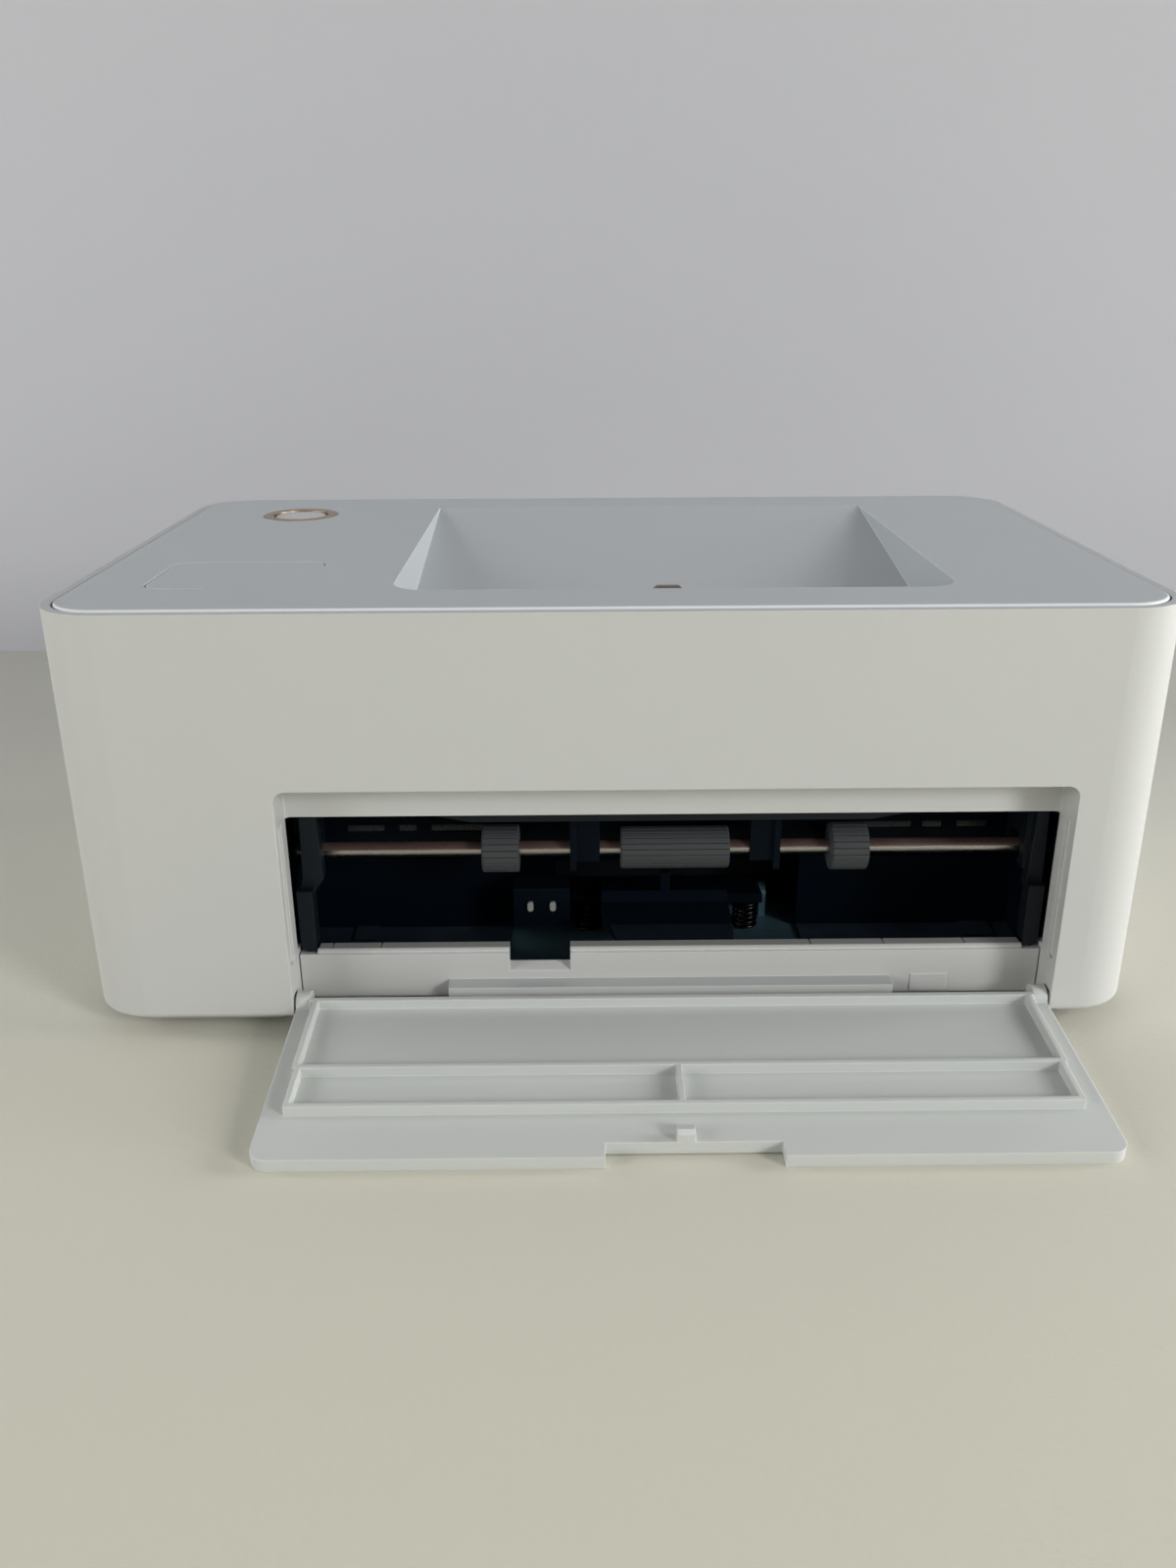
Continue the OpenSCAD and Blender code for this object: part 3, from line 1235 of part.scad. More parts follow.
module socket_board() color("darkgreen") from_front()
    block([usb_x - usb_w / 2 - 2, back_wall_y - jack_len - 1, socket_board_z],
        [jack_x + jack_w / 2 + 1, back_wall_y - 1.8, socket_top]);

module dc_jack() color("#1c1c1c") from_front() {
    front = back_wall_y - jack_len;
    difference() {
        union() {
            block([jack_x - jack_w / 2, front, socket_top],
                [jack_x + jack_w / 2, back_wall_y, socket_top + jack_h]);
            bar_y(back_wall_y - eps, body_d - 0.4, [jack_x, jack_z], jack_r);
        }
        bar_y(front + 3, body_d + 1, [jack_x, jack_z], jack_bore_r);
    }
    bar_y(front + 2, body_d - 1.2, [jack_x, jack_z], jack_pin_r);
}

module usb_port() color("silver") from_front() {
    front = back_wall_y - jack_len;
    half = usb_w / 2;
    difference() {
        block([usb_x - half, front, socket_top], [usb_x + half, body_d - 0.4, socket_top + usb_h]);
        block([usb_x - half + usb_wall, front + 2, socket_top + usb_wall],
            [usb_x + half - usb_wall, body_d + 1, socket_top + usb_h - usb_wall]);
    }
    block([usb_x - half + 2 * usb_wall, front + 1, socket_top + usb_h - 2 * usb_wall - usb_tongue],
        [usb_x + half - 2 * usb_wall, body_d - 1.2, socket_top + usb_h - 2 * usb_wall]);
}

/* ---- power button ---- */

module button_ring() color("#b08d57") from_front() translate([button_x, button_y, 0]) difference() {
    union() {
        translate([0, 0, cover_top - ring_seat]) rotate_extrude() polygon([[0, 0], [ring_d / 2, 0],
            [ring_d / 2, ring_seat - ring_lip], [ring_d / 2 - 3 * ring_lip, ring_seat + ring_lip],
            [button_d / 2 + 1, ring_seat + ring_lip], [button_d / 2 + button_gap, ring_seat - 2 * ring_lip],
            [0, ring_seat - 2 * ring_lip]]);
        translate([0, 0, cover_under]) cylinder(h = cover_t - ring_seat + eps, r = sleeve_r);
    }
    translate([0, 0, cover_under - 1]) cylinder(h = cover_t + 3, r = button_d / 2 + button_gap);
}

module power_button() color("white") from_front() translate([button_x, button_y, 0]) {
    r = button_d / 2;
    low = cover_under - 0.9;
    rise = 0.4;
    stem_low = switch_z + switch_h + fit_gap + button_travel;
    // Cap with a shallow dome
    rotate_extrude() polygon(concat([[0, low], [r, low], [r, cover_top - 1.2 * rise]],
        [for (i = [1:6]) let (a = 90 * i / 6) [r * cos(a), cover_top - rise + rise * sin(a)]]));
    // Flange that keeps it in, and the stem
    translate([0, 0, low - rise]) cylinder(h = flange_t, r = r + flange_out);
    translate([0, 0, stem_low]) cylinder(h = low - stem_low, r = stem_r);
}

module button_switch() color("darkgreen") from_front() translate([button_x, button_y, switch_z]) {
    half = switch_post_x + 2;
    block([-half, -5, -board_t], [half, 5, 0]);
    block([-switch_w / 2, -switch_w / 2, -eps], [switch_w / 2, switch_w / 2, 2.3]);
    cylinder(h = switch_h, r = switch_post_r);
}

/* ---- dock ---- */

module dock_cradle() color("white") from_front() difference() {
    inner = rocker_len / 2 + fit_gap;
    outer = inner + cheek_t;
    ear = dock_slot_w / 2 + fit_gap;
    low = rocker_z - cradle_h;
    front = rocker_y - cheek_r;
    back = rocker_y + cheek_r;
    union() {
        both_sides(plug_x) {
            along_x(inner, outer) {
                translate([front, low + 1]) square([2 * cheek_r, cradle_h - 1]);
                translate([rocker_y, rocker_z]) circle(cheek_r);
            }
            // Ears that are welded to the underside of the tub
            along_x(ear, ear + ear_w) polygon([[front, low], [back, low],
                [back, dock_floor(back) - dock_wall],
                [front, dock_floor(front) - dock_wall]]);
        }
        block([plug_x - ear - 1, front, low], [plug_x + ear + 1, back, low + 2]);
    }
    bar_x(plug_x - outer - 1, plug_x + outer + 1, [rocker_y, rocker_z], rocker_pin_r + run_fit);
}

module leaning() {
    translate([plug_x, rocker_y, rocker_z]) rotate([-plug_lean, 0, 0]) children();
}

module dock_rocker() color("whitesmoke") from_front() leaning() difference() {
    neck = rocker_r - 0.4;
    union() {
        bar_x(-rocker_len / 2, rocker_len / 2, [0, 0], rocker_r);
        bar_x(-rocker_len / 2 - rocker_pin_len, rocker_len / 2 + rocker_pin_len, [0, 0], rocker_pin_r);
        block([-plug_w / 2 - socket_rim, -neck, 0], [plug_w / 2 + socket_rim, neck, rocker_r + 1.2]);
    }
    block([-plug_w / 2, -plug_t / 2, plug_seat], [plug_w / 2, plug_t / 2, plug_len]);
}

module dock_plug() color("#8a8078") from_front() leaning() along_y(-plug_t / 2, plug_t / 2) {
    half = plug_w / 2;
    bevel = 0.9;
    polygon([[-half, plug_seat], [half, plug_seat], [half, plug_len - bevel], [half - bevel, plug_len],
        [-half + bevel, plug_len], [-half, plug_len - bevel]]);
}

/* ---- cartridge door ---- */

module cartridge_door() color("white") from_front() difference() {
    low = side_axis_z - 0.9;
    high = side_door_z + side_door_h - side_door_gap;
    half = side_door_w / 2 - side_door_gap;
    union() {
        translate([side_axis_x, side_door_y, 0]) {
            block([0, -half, low], [side_door_t, half, high]);
            for (s = [-1, 1]) translate([0, s * (half - 6) - rib_t / 2, 0])
                block([-rib_h, 0, side_axis_z + 4], [eps, rib_t, high - 2]);
        }
        side_axis(-side_door_gap, side_knuckle_r);
        side_axis(side_pin_len, hinge_pin_r);
    }
    translate([body_w / 2 + grip_r - grip_in, side_door_y, high - 4]) sphere(grip_r);
}

outer_shell();
rear_panel();
top_cover();
base_plate();
rubber_feet();
case_screws();
front_sill();
sill_strip();
bay_frame();
window_strip();
bay_floor_plate();
paper_guides();
guide_beam();
shaft_hangers();
feed_bushes();
sensor_block();
sensor_pins();
front_door();
feed_shaft();
pick_roller_left();
pick_roller_middle();
pick_roller_right();
feed_gear();
lift_plate();
lift_springs();
engine_frame();
capstan_shaft();
capstan_roller();
capstan_gear();
pinch_roller();
platen_shaft();
platen_roller();
platen_gear();
idler_gear_front();
idler_gear_middle();
idler_gear_rear();
gear_studs();
takeup_spindle();
supply_spindle();
print_head();
head_heat_sink();
motor_bracket();
drive_motor();
motor_pinion();
main_board();
socket_board();
dc_jack();
usb_port();
button_ring();
power_button();
button_switch();
dock_cradle();
dock_rocker();
dock_plug();
cartridge_door();
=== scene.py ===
"""Looks of a compact dock photo printer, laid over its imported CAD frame.

The CAD solids keep their shapes and get procedural finishes. The small parts that catch the eye are
modelled anew as smooth surfaces: the pick rollers, the power key with its ring, and the lift springs.
Lengths are in metres, in the frame's own axes: +X right, +Y back, +Z up.
"""
import json
import logging
import math
from dataclasses import dataclass
from enum import Enum

import bpy
import numpy as np
from mathutils import Matrix, Vector


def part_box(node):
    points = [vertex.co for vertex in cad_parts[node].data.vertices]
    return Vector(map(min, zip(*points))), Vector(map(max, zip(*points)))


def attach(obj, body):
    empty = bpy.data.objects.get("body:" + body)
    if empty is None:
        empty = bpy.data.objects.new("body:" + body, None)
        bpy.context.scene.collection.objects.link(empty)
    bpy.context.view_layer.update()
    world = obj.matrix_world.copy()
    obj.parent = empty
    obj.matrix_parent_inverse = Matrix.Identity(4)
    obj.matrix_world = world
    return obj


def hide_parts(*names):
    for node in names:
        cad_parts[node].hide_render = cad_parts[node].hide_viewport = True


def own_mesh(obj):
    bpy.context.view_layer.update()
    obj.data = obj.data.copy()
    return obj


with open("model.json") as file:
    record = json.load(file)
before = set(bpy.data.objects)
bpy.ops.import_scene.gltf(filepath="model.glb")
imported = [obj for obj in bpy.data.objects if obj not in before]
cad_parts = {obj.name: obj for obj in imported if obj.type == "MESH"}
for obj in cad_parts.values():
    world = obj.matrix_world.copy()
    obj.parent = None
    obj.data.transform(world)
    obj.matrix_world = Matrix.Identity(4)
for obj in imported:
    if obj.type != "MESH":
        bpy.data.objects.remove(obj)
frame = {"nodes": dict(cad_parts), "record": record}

log = logging.getLogger("photo_printer")
MM = 0.001
Colour = tuple[float, float, float]
Point = tuple[float, float, float]
Span = tuple[float, float]
Mesh = tuple[np.ndarray, list[tuple[int, ...]]]
Socket = bpy.types.NodeSocket
Tree = bpy.types.NodeTree


class Axis(Enum):
    """Axis that a turned part lies along."""

    X = 0
    Y = 1
    Z = 2


class Lay(Enum):
    """How the fine texture of a surface runs."""

    SPARK = "spark"
    DRAWN = "drawn"
    CAST = "cast"


# ---- surfaces ----------------------------------------------------------------------------------


def signed_volume(points: np.ndarray, faces: list[tuple[int, ...]]) -> float:
    """Volume inside a closed mesh: the sum of a . (b x c) / 6 over its triangles.

    Args:
        points: The n x 3 array of vertices.
        faces: The faces, of three or more corners each.

    Returns:
        The volume, below zero where the faces point inwards.
    """
    tris = np.array([(f[0], f[i], f[i + 1]) for f in faces for i in range(1, len(f) - 1)])
    a, b, c = (points[tris[:, k]] for k in range(3))
    return float(np.einsum("ij,ij->i", a, np.cross(b, c)).sum() / 6)


def make_piece(name: str, points: np.ndarray, faces: list[tuple[int, ...]],
               crease: float = 35.0) -> bpy.types.Object:
    """Makes a smooth-shaded object from vertices and faces, its place in its mesh.

    Args:
        name: The piece's name.
        points: The n x 3 array of vertices.
        faces: The faces as tuples of vertex numbers.
        crease: Angle in degrees past which an edge stays sharp.

    Returns:
        The new object, linked to the scene.
    """
    if signed_volume(points, faces) < 0:
        faces = [tuple(reversed(f)) for f in faces]
    mesh = bpy.data.meshes.new(name)
    mesh.from_pydata(points.tolist(), [], faces)
    mesh.shade_smooth()
    mesh.set_sharp_from_angle(angle=math.radians(crease))
    mesh.validate()
    piece = bpy.data.objects.new(name, mesh)
    bpy.context.scene.collection.objects.link(piece)
    return piece


def grid_faces(rows: int, columns: int, first: int = 0) -> list[tuple[int, ...]]:
    """Quads of a grid of rows x columns vertices whose columns close into a ring.

    Args:
        rows: Number of rings.
        columns: Number of vertices in each ring.
        first: Number of the first vertex.

    Returns:
        The quads.
    """
    i, j = np.meshgrid(np.arange(rows - 1), np.arange(columns), indexing="ij")
    k = (j + 1) % columns
    quads = np.stack([i * columns + j, (i + 1) * columns + j, (i + 1) * columns + k, i * columns + k], -1)
    return [tuple(q) for q in (quads.reshape(-1, 4) + first).tolist()]


def closed_tube(rings: np.ndarray) -> Mesh:
    """Closes a stack of rings of points with a face at each end.

    Args:
        rings: Array of rows x columns x 3.

    Returns:
        The vertices and the faces.
    """
    rows, columns = rings.shape[:2]
    last = (rows - 1) * columns
    ends = [tuple(range(columns)), tuple(range(last + columns - 1, last - 1, -1))]
    return rings.reshape(-1, 3), grid_faces(rows, columns) + ends


def turned(profile: np.ndarray, centre: Point, axis: Axis, flute: np.ndarray | None = None,
           segments: int = 96) -> Mesh:
    """Carries a profile round an axis.

    A point of the profile at the place a along the axis and the radius r becomes
    P(v) = centre + a * e0 + (r - f(v)) * (cos v * e1 + sin v * e2), where f is the flutes' depth at
    the angle v and acts only on points whose third value is 1.

    Args:
        profile: Rows of (a, r) or (a, r, fluted), from one end to the other.
        centre: The point that a is counted from.
        axis: The axis.
        flute: Depth of the flutes at each of the segments, or None.
        segments: Number of steps round.

    Returns:
        The vertices and the faces.
    """
    a, r = profile[:, 0][:, None], profile[:, 1][:, None]
    v = np.linspace(0, 2 * np.pi, segments, endpoint=False)[None, :]
    if flute is not None:
        r = r - profile[:, 2][:, None] * flute[None, :]
    order = [axis.value, (axis.value + 1) % 3, (axis.value + 2) % 3]
    rings = np.empty((len(profile), segments, 3))
    rings[..., order[0]] = a
    rings[..., order[1]] = r * np.cos(v)
    rings[..., order[2]] = r * np.sin(v)
    return closed_tube(rings + np.array(centre))


def ring_of(profile: np.ndarray, centre: Point, axis: Axis, segments: int = 96) -> Mesh:
    """Carries a closed outline round an axis that it doesn't touch: P(u, v) as in turned.

    Args:
        profile: Rows of (a, r), the outline of the section, not repeated at its end.
        centre: The point that a is counted from.
        axis: The axis.
        segments: Number of steps round.

    Returns:
        The vertices and the faces.
    """
    closed = np.vstack([profile, profile[:1]])
    points, faces = turned(closed, centre, axis, segments=segments)
    n, keep = len(profile) * segments, len(points) - segments
    faces = [tuple(i % keep if i >= keep else i for i in f) for f in faces[:-2]]
    return points[:n], faces


def joined(parts: list[Mesh]) -> Mesh:
    """Puts several closed meshes into one.

    Args:
        parts: Vertices and faces of each.

    Returns:
        The vertices and the faces of all.
    """
    points, faces, first = [], [], 0
    for p, f in parts:
        points.append(p)
        faces += [tuple(i + first for i in face) for face in f]
        first += len(p)
    return np.vstack(points), faces


def rounded(corners: list[tuple[float, float]], radius: float, steps: int = 5) -> np.ndarray:
    """Rounds the corners of an open or closed outline with arcs of one radius.

    Each inner corner P with unit ways d0 and d1 to its neighbours is replaced by the quadratic
    curve (1-t)^2 (P + R d0) + 2 t (1-t) P + t^2 (P + R d1), for t from 0 to 1.

    Args:
        corners: The outline's corners. Its two ends stay.
        radius: The length R that each side gives up.
        steps: Points on each arc.

    Returns:
        The rounded outline as an array of rows of two.
    """
    c = np.array(corners, float)
    t = np.linspace(0, 1, steps)[:, None]
    out = [c[:1]]
    for before, here, after in zip(c[:-2], c[1:-1], c[2:]):
        d0, d1 = before - here, after - here
        n0, n1 = np.linalg.norm(d0), np.linalg.norm(d1)
        r0, r1 = min(radius, n0 / 2), min(radius, n1 / 2)
        p0, p1 = here + d0 / n0 * r0, here + d1 / n1 * r1
        out.append((1 - t) ** 2 * p0 + 2 * t * (1 - t) * here + t ** 2 * p1)
    return np.vstack(out + [c[-1:]])


# ---- node groups -------------------------------------------------------------------------------


class Group:
    """A shader node group with named inputs and outputs, built once and used in many finishes."""

    def __init__(self, name: str, inputs: dict[str, float | Point], outputs: list[str]) -> None:
        """Makes the group with its sockets.

        Args:
            name: The group's name.
            inputs: Default value of each input; three numbers make a vector.
            outputs: Names of the outputs, all plain values.
        """
        self.tree = bpy.data.node_groups.new(name, "ShaderNodeTree")
        for label, value in inputs.items():
            vector = isinstance(value, tuple)
            kind = "NodeSocketVector" if vector else "NodeSocketFloat"
            socket = self.tree.interface.new_socket(label, in_out="INPUT", socket_type=kind)
            if not vector:
                socket.default_value = value
        for label in outputs:
            self.tree.interface.new_socket(label, in_out="OUTPUT", socket_type="NodeSocketFloat")
        self.given = self.tree.nodes.new("NodeGroupInput")
        self.result = self.tree.nodes.new("NodeGroupOutput")

    def node(self, kind: str, links: dict[str | int, object] | None = None,
             **settings: object) -> bpy.types.Node:
        """Adds a node. See add_node.

        Args:
            kind: The node's type.
            links: What feeds each input.
            **settings: The node's own settings.

        Returns:
            The node.
        """
        return add_node(self.tree, kind, links or {}, **settings)

    def math(self, operation: str, a: object, b: object = 0.0, clamp: bool = False) -> Socket:
        """Adds a Math node. See maths.

        Args:
            operation: The node's operation.
            a: First value or socket.
            b: Second value or socket.
            clamp: Whether the result is held between 0 and 1.

        Returns:
            The result's socket.
        """
        return maths(self.tree, operation, a, b, clamp)


def add_node(tree: Tree, kind: str, links: dict[str | int, object],
             **settings: object) -> bpy.types.Node:
    """Adds a node to a tree, sets it up and connects its inputs.

    Args:
        tree: The node tree.
        kind: The node's type.
        links: For each input, a socket to link or a plain value to set.
        **settings: The node's own settings.

    Returns:
        The new node.
    """
    node = tree.nodes.new(kind)
    for key, value in settings.items():
        setattr(node, key, value)
    for key, value in links.items():
        if isinstance(value, bpy.types.NodeSocket):
            tree.links.new(value, node.inputs[key])
        else:
            node.inputs[key].default_value = value
    return node


def maths(tree: Tree, operation: str, a: object, b: object = 0.0, clamp: bool = False) -> Socket:
    """Adds a Math node.

    Args:
        tree: The node tree.
        operation: The node's operation.
        a: First value or socket.
        b: Second value or socket.
        clamp: Whether the result is held between 0 and 1.

    Returns:
        The result's socket.
    """
    return add_node(tree, "ShaderNodeMath", {0: a, 1: b}, operation=operation, use_clamp=clamp).outputs[0]


def noise(tree: Tree, place: Socket, scale: object, detail: float, roughness: float = 0.5) -> Socket:
    """Adds smooth noise from 0 to 1.

    Args:
        tree: The node tree.
        place: Socket of the place.
        scale: How many times it changes in a metre, as a value or socket.
        detail: How many finer layers it has.
        roughness: How much of each finer layer shows.

    Returns:
        The noise's socket.
    """
    return add_node(tree, "ShaderNodeTexNoise", {"Vector": place, "Scale": scale, "Detail": detail,
                                                 "Roughness": roughness}).outputs[0]


def ramp(tree: Tree, value: Socket, start: float, end: float, low: float = 0.0,
         high: float = 1.0) -> Socket:
    """Turns a value into another that runs straight from low to high and stays there.

    Args:
        tree: The node tree.
        value: The value's socket.
        start: Value at which the result is low.
        end: Value at which the result is high.
        low: First result.
        high: Last result.

    Returns:
        The result's socket.
    """
    return add_node(tree, "ShaderNodeMapRange", {"Value": value, "From Min": start, "From Max": end,
                                                 "To Min": low, "To Max": high}).outputs[0]


def part_of(tree: Tree, vector: Socket, axis: Axis) -> Socket:
    """Takes one coordinate of a vector.

    Args:
        tree: The node tree.
        vector: The vector's socket.
        axis: Which coordinate.

    Returns:
        Its socket.
    """
    return add_node(tree, "ShaderNodeSeparateXYZ", {0: vector}).outputs[axis.value]


def scaled(colour: Colour, factor: float) -> Colour:
    """A colour made darker or lighter, held to white."""
    return tuple(min(1.0, c * factor) for c in colour)


def blank_material(name: str) -> tuple[bpy.types.Material, Tree, Socket]:
    """Makes a material without nodes, apart from the piece's own coordinates.

    Args:
        name: Its name.

    Returns:
        The material, its node tree and the socket of the place on the piece.
    """
    mat = bpy.data.materials.new(name)
    mat.use_nodes = True
    mat.node_tree.nodes.clear()
    return mat, mat.node_tree, add_node(mat.node_tree, "ShaderNodeTexCoord", {}).outputs["Object"]


def mix_colours(tree: Tree, share: Socket, a: object, b: object) -> Socket:
    """Mixes two colours.

    Args:
        tree: The node tree.
        share: Socket that says how much of b shows.
        a: Socket or colour.
        b: Socket or colour.

    Returns:
        The mixed colour's socket.
    """
    node = tree.nodes.new("ShaderNodeMix")
    node.data_type = "RGBA"
    tree.links.new(share, node.inputs[0])
    for index, value in ((6, a), (7, b)):
        if isinstance(value, bpy.types.NodeSocket):
            tree.links.new(value, node.inputs[index])
        else:
            node.inputs[index].default_value = (*value, 1.0)
    return node.outputs[2]


SCRATCH_SCALE = 0.4
SCRATCH_FROM = 0.62
SCRATCH_GAIN = 9.0
VEIL_SCALE = 0.6
EDGE_GAIN = 10.0


def spark_group() -> Tree:
    """Fine even grain of a spark-eroded mould, with broad faint patches.

    Height = noise(p / pitch), Patches = smooth noise(p / patch), both from 0 to 1.

    Returns:
        The group's tree.
    """
    g = Group("spark_grain", {"Vector": (0, 0, 0), "Pitch": 0.3 * MM, "Patch": 20 * MM},
              ["Height", "Patches"])
    place = g.given.outputs["Vector"]
    fine = noise(g.tree, place, g.math("DIVIDE", 1.0, g.given.outputs["Pitch"]), 2.0, roughness=0.6)
    broad = noise(g.tree, place, g.math("DIVIDE", 1.0, g.given.outputs["Patch"]), 1.0)
    g.tree.links.new(fine, g.result.inputs["Height"])
    g.tree.links.new(broad, g.result.inputs["Patches"])
    return g.tree


def drawn_group() -> Tree:
    """Long fine lines of drawn or rolled metal, along the stretched axis, with a few deep scratches.

    Lines = noise(p * stretch / pitch). Scratches rises above 0 only where a coarser noise passes
    SCRATCH_FROM.

    Returns:
        The group's tree.
    """
    g = Group("drawn_lines", {"Vector": (0, 0, 0), "Stretch": (1, 1, 1), "Pitch": 0.3 * MM},
              ["Lines", "Scratches"])
    place = g.node("ShaderNodeVectorMath", {0: g.given.outputs["Vector"], 1: g.given.outputs["Stretch"]},
                   operation="MULTIPLY").outputs[0]
    scale = g.math("DIVIDE", 1.0, g.given.outputs["Pitch"])
    lines = noise(g.tree, place, scale, 3.0)
    coarse = noise(g.tree, place, g.math("MULTIPLY", scale, SCRATCH_SCALE), 1.0)
    deep = g.math("MULTIPLY", g.math("SUBTRACT", coarse, SCRATCH_FROM), SCRATCH_GAIN, clamp=True)
    g.tree.links.new(lines, g.result.inputs["Lines"])
    g.tree.links.new(deep, g.result.inputs["Scratches"])
    return g.tree


def dust_and_sheen_group() -> Tree:
    """Sparse specks, and a thin veil on what faces up: grime on most finishes, and painted light on the
    upward faces deep in the bay.

    Specks = 1 in the cores of the Voronoi cells whose random value is below share, with a core's
    radius of speck times spacing. Veil = noise * how much the face looks up.

    Returns:
        The group's tree.
    """
    g = Group("dust_and_sheen_fall", {"Vector": (0, 0, 0), "Spacing": 6 * MM, "Speck": 0.03, "Share": 0.3},
              ["Specks", "Veil"])
    place = g.given.outputs["Vector"]
    scale = g.math("DIVIDE", 1.0, g.given.outputs["Spacing"])
    cell = g.node("ShaderNodeTexVoronoi", {"Vector": place, "Scale": scale, "Randomness": 1.0})
    core = g.math("LESS_THAN", cell.outputs["Distance"], g.given.outputs["Speck"])
    pick = g.node("ShaderNodeTexWhiteNoise", {"Vector": cell.outputs["Position"]}, noise_dimensions="3D")
    chosen = g.math("LESS_THAN", pick.outputs["Value"], g.given.outputs["Share"])
    up = g.math("MAXIMUM", part_of(g.tree, g.node("ShaderNodeNewGeometry").outputs["Normal"], Axis.Z), 0.0)
    cloud = noise(g.tree, place, g.math("MULTIPLY", scale, VEIL_SCALE), 4.0)
    g.tree.links.new(g.math("MULTIPLY", core, chosen), g.result.inputs["Specks"])
    g.tree.links.new(g.math("MULTIPLY", cloud, up), g.result.inputs["Veil"])
    return g.tree


def edge_group() -> Tree:
    """How far a rounded normal departs from the flat one: Edge = EDGE_GAIN (1 - soft . sharp), held to 1. It
    marks the edges that are painted with highlight and wear.

    Returns:
        The group's tree.
    """
    g = Group("edge_highlight_and_wear", {"Soft": (0, 0, 1)}, ["Edge"])
    sharp = g.node("ShaderNodeNewGeometry").outputs["Normal"]
    dot = g.node("ShaderNodeVectorMath", {0: g.given.outputs["Soft"], 1: sharp}, operation="DOT_PRODUCT")
    away = g.math("SUBTRACT", 1.0, dot.outputs["Value"])
    g.tree.links.new(g.math("MULTIPLY", away, EDGE_GAIN, clamp=True), g.result.inputs["Edge"])
    return g.tree


# ---- finishes ----------------------------------------------------------------------------------


@dataclass(frozen=True)
class Finish:
    """One material: its colours, its gloss, its fine texture, its veil and specks, and its rounded edges with
    painted highlight and wear.

    What faces up takes a colour of its own, over a span of the normal's upward part: painted shade on the
    casing's top, and a painted reflection of the dark bay roof on the feed shaft. The slanting faces above
    the height lip count as edges and take the painted highlight.
    """

    name: str
    colour: Colour
    roughness: float
    tint: Colour | None = None
    metallic: float = 0.0
    specular: float = 0.5
    lay: Lay = Lay.SPARK
    pitch: float = 0.35 * MM
    depth: float = 0.006 * MM
    patch: float = 18 * MM
    stretch: Point = (1.0, 1.0, 1.0)
    edge: float = 0.25 * MM
    edge_highlight_and_wear_colour: Colour | None = None
    dust_and_sheen: float = 0.0
    dust_and_sheen_colour: Colour = (0.42, 0.41, 0.38)
    speck_share: float = 0.0
    speck_colour: Colour = (0.03, 0.028, 0.025)
    spacing: float = 7 * MM
    speck: float = 0.03
    coat: float = 0.0
    upper: Colour | None = None
    painted_top_span: Span = (0.28, 0.36)
    lip: float | None = None


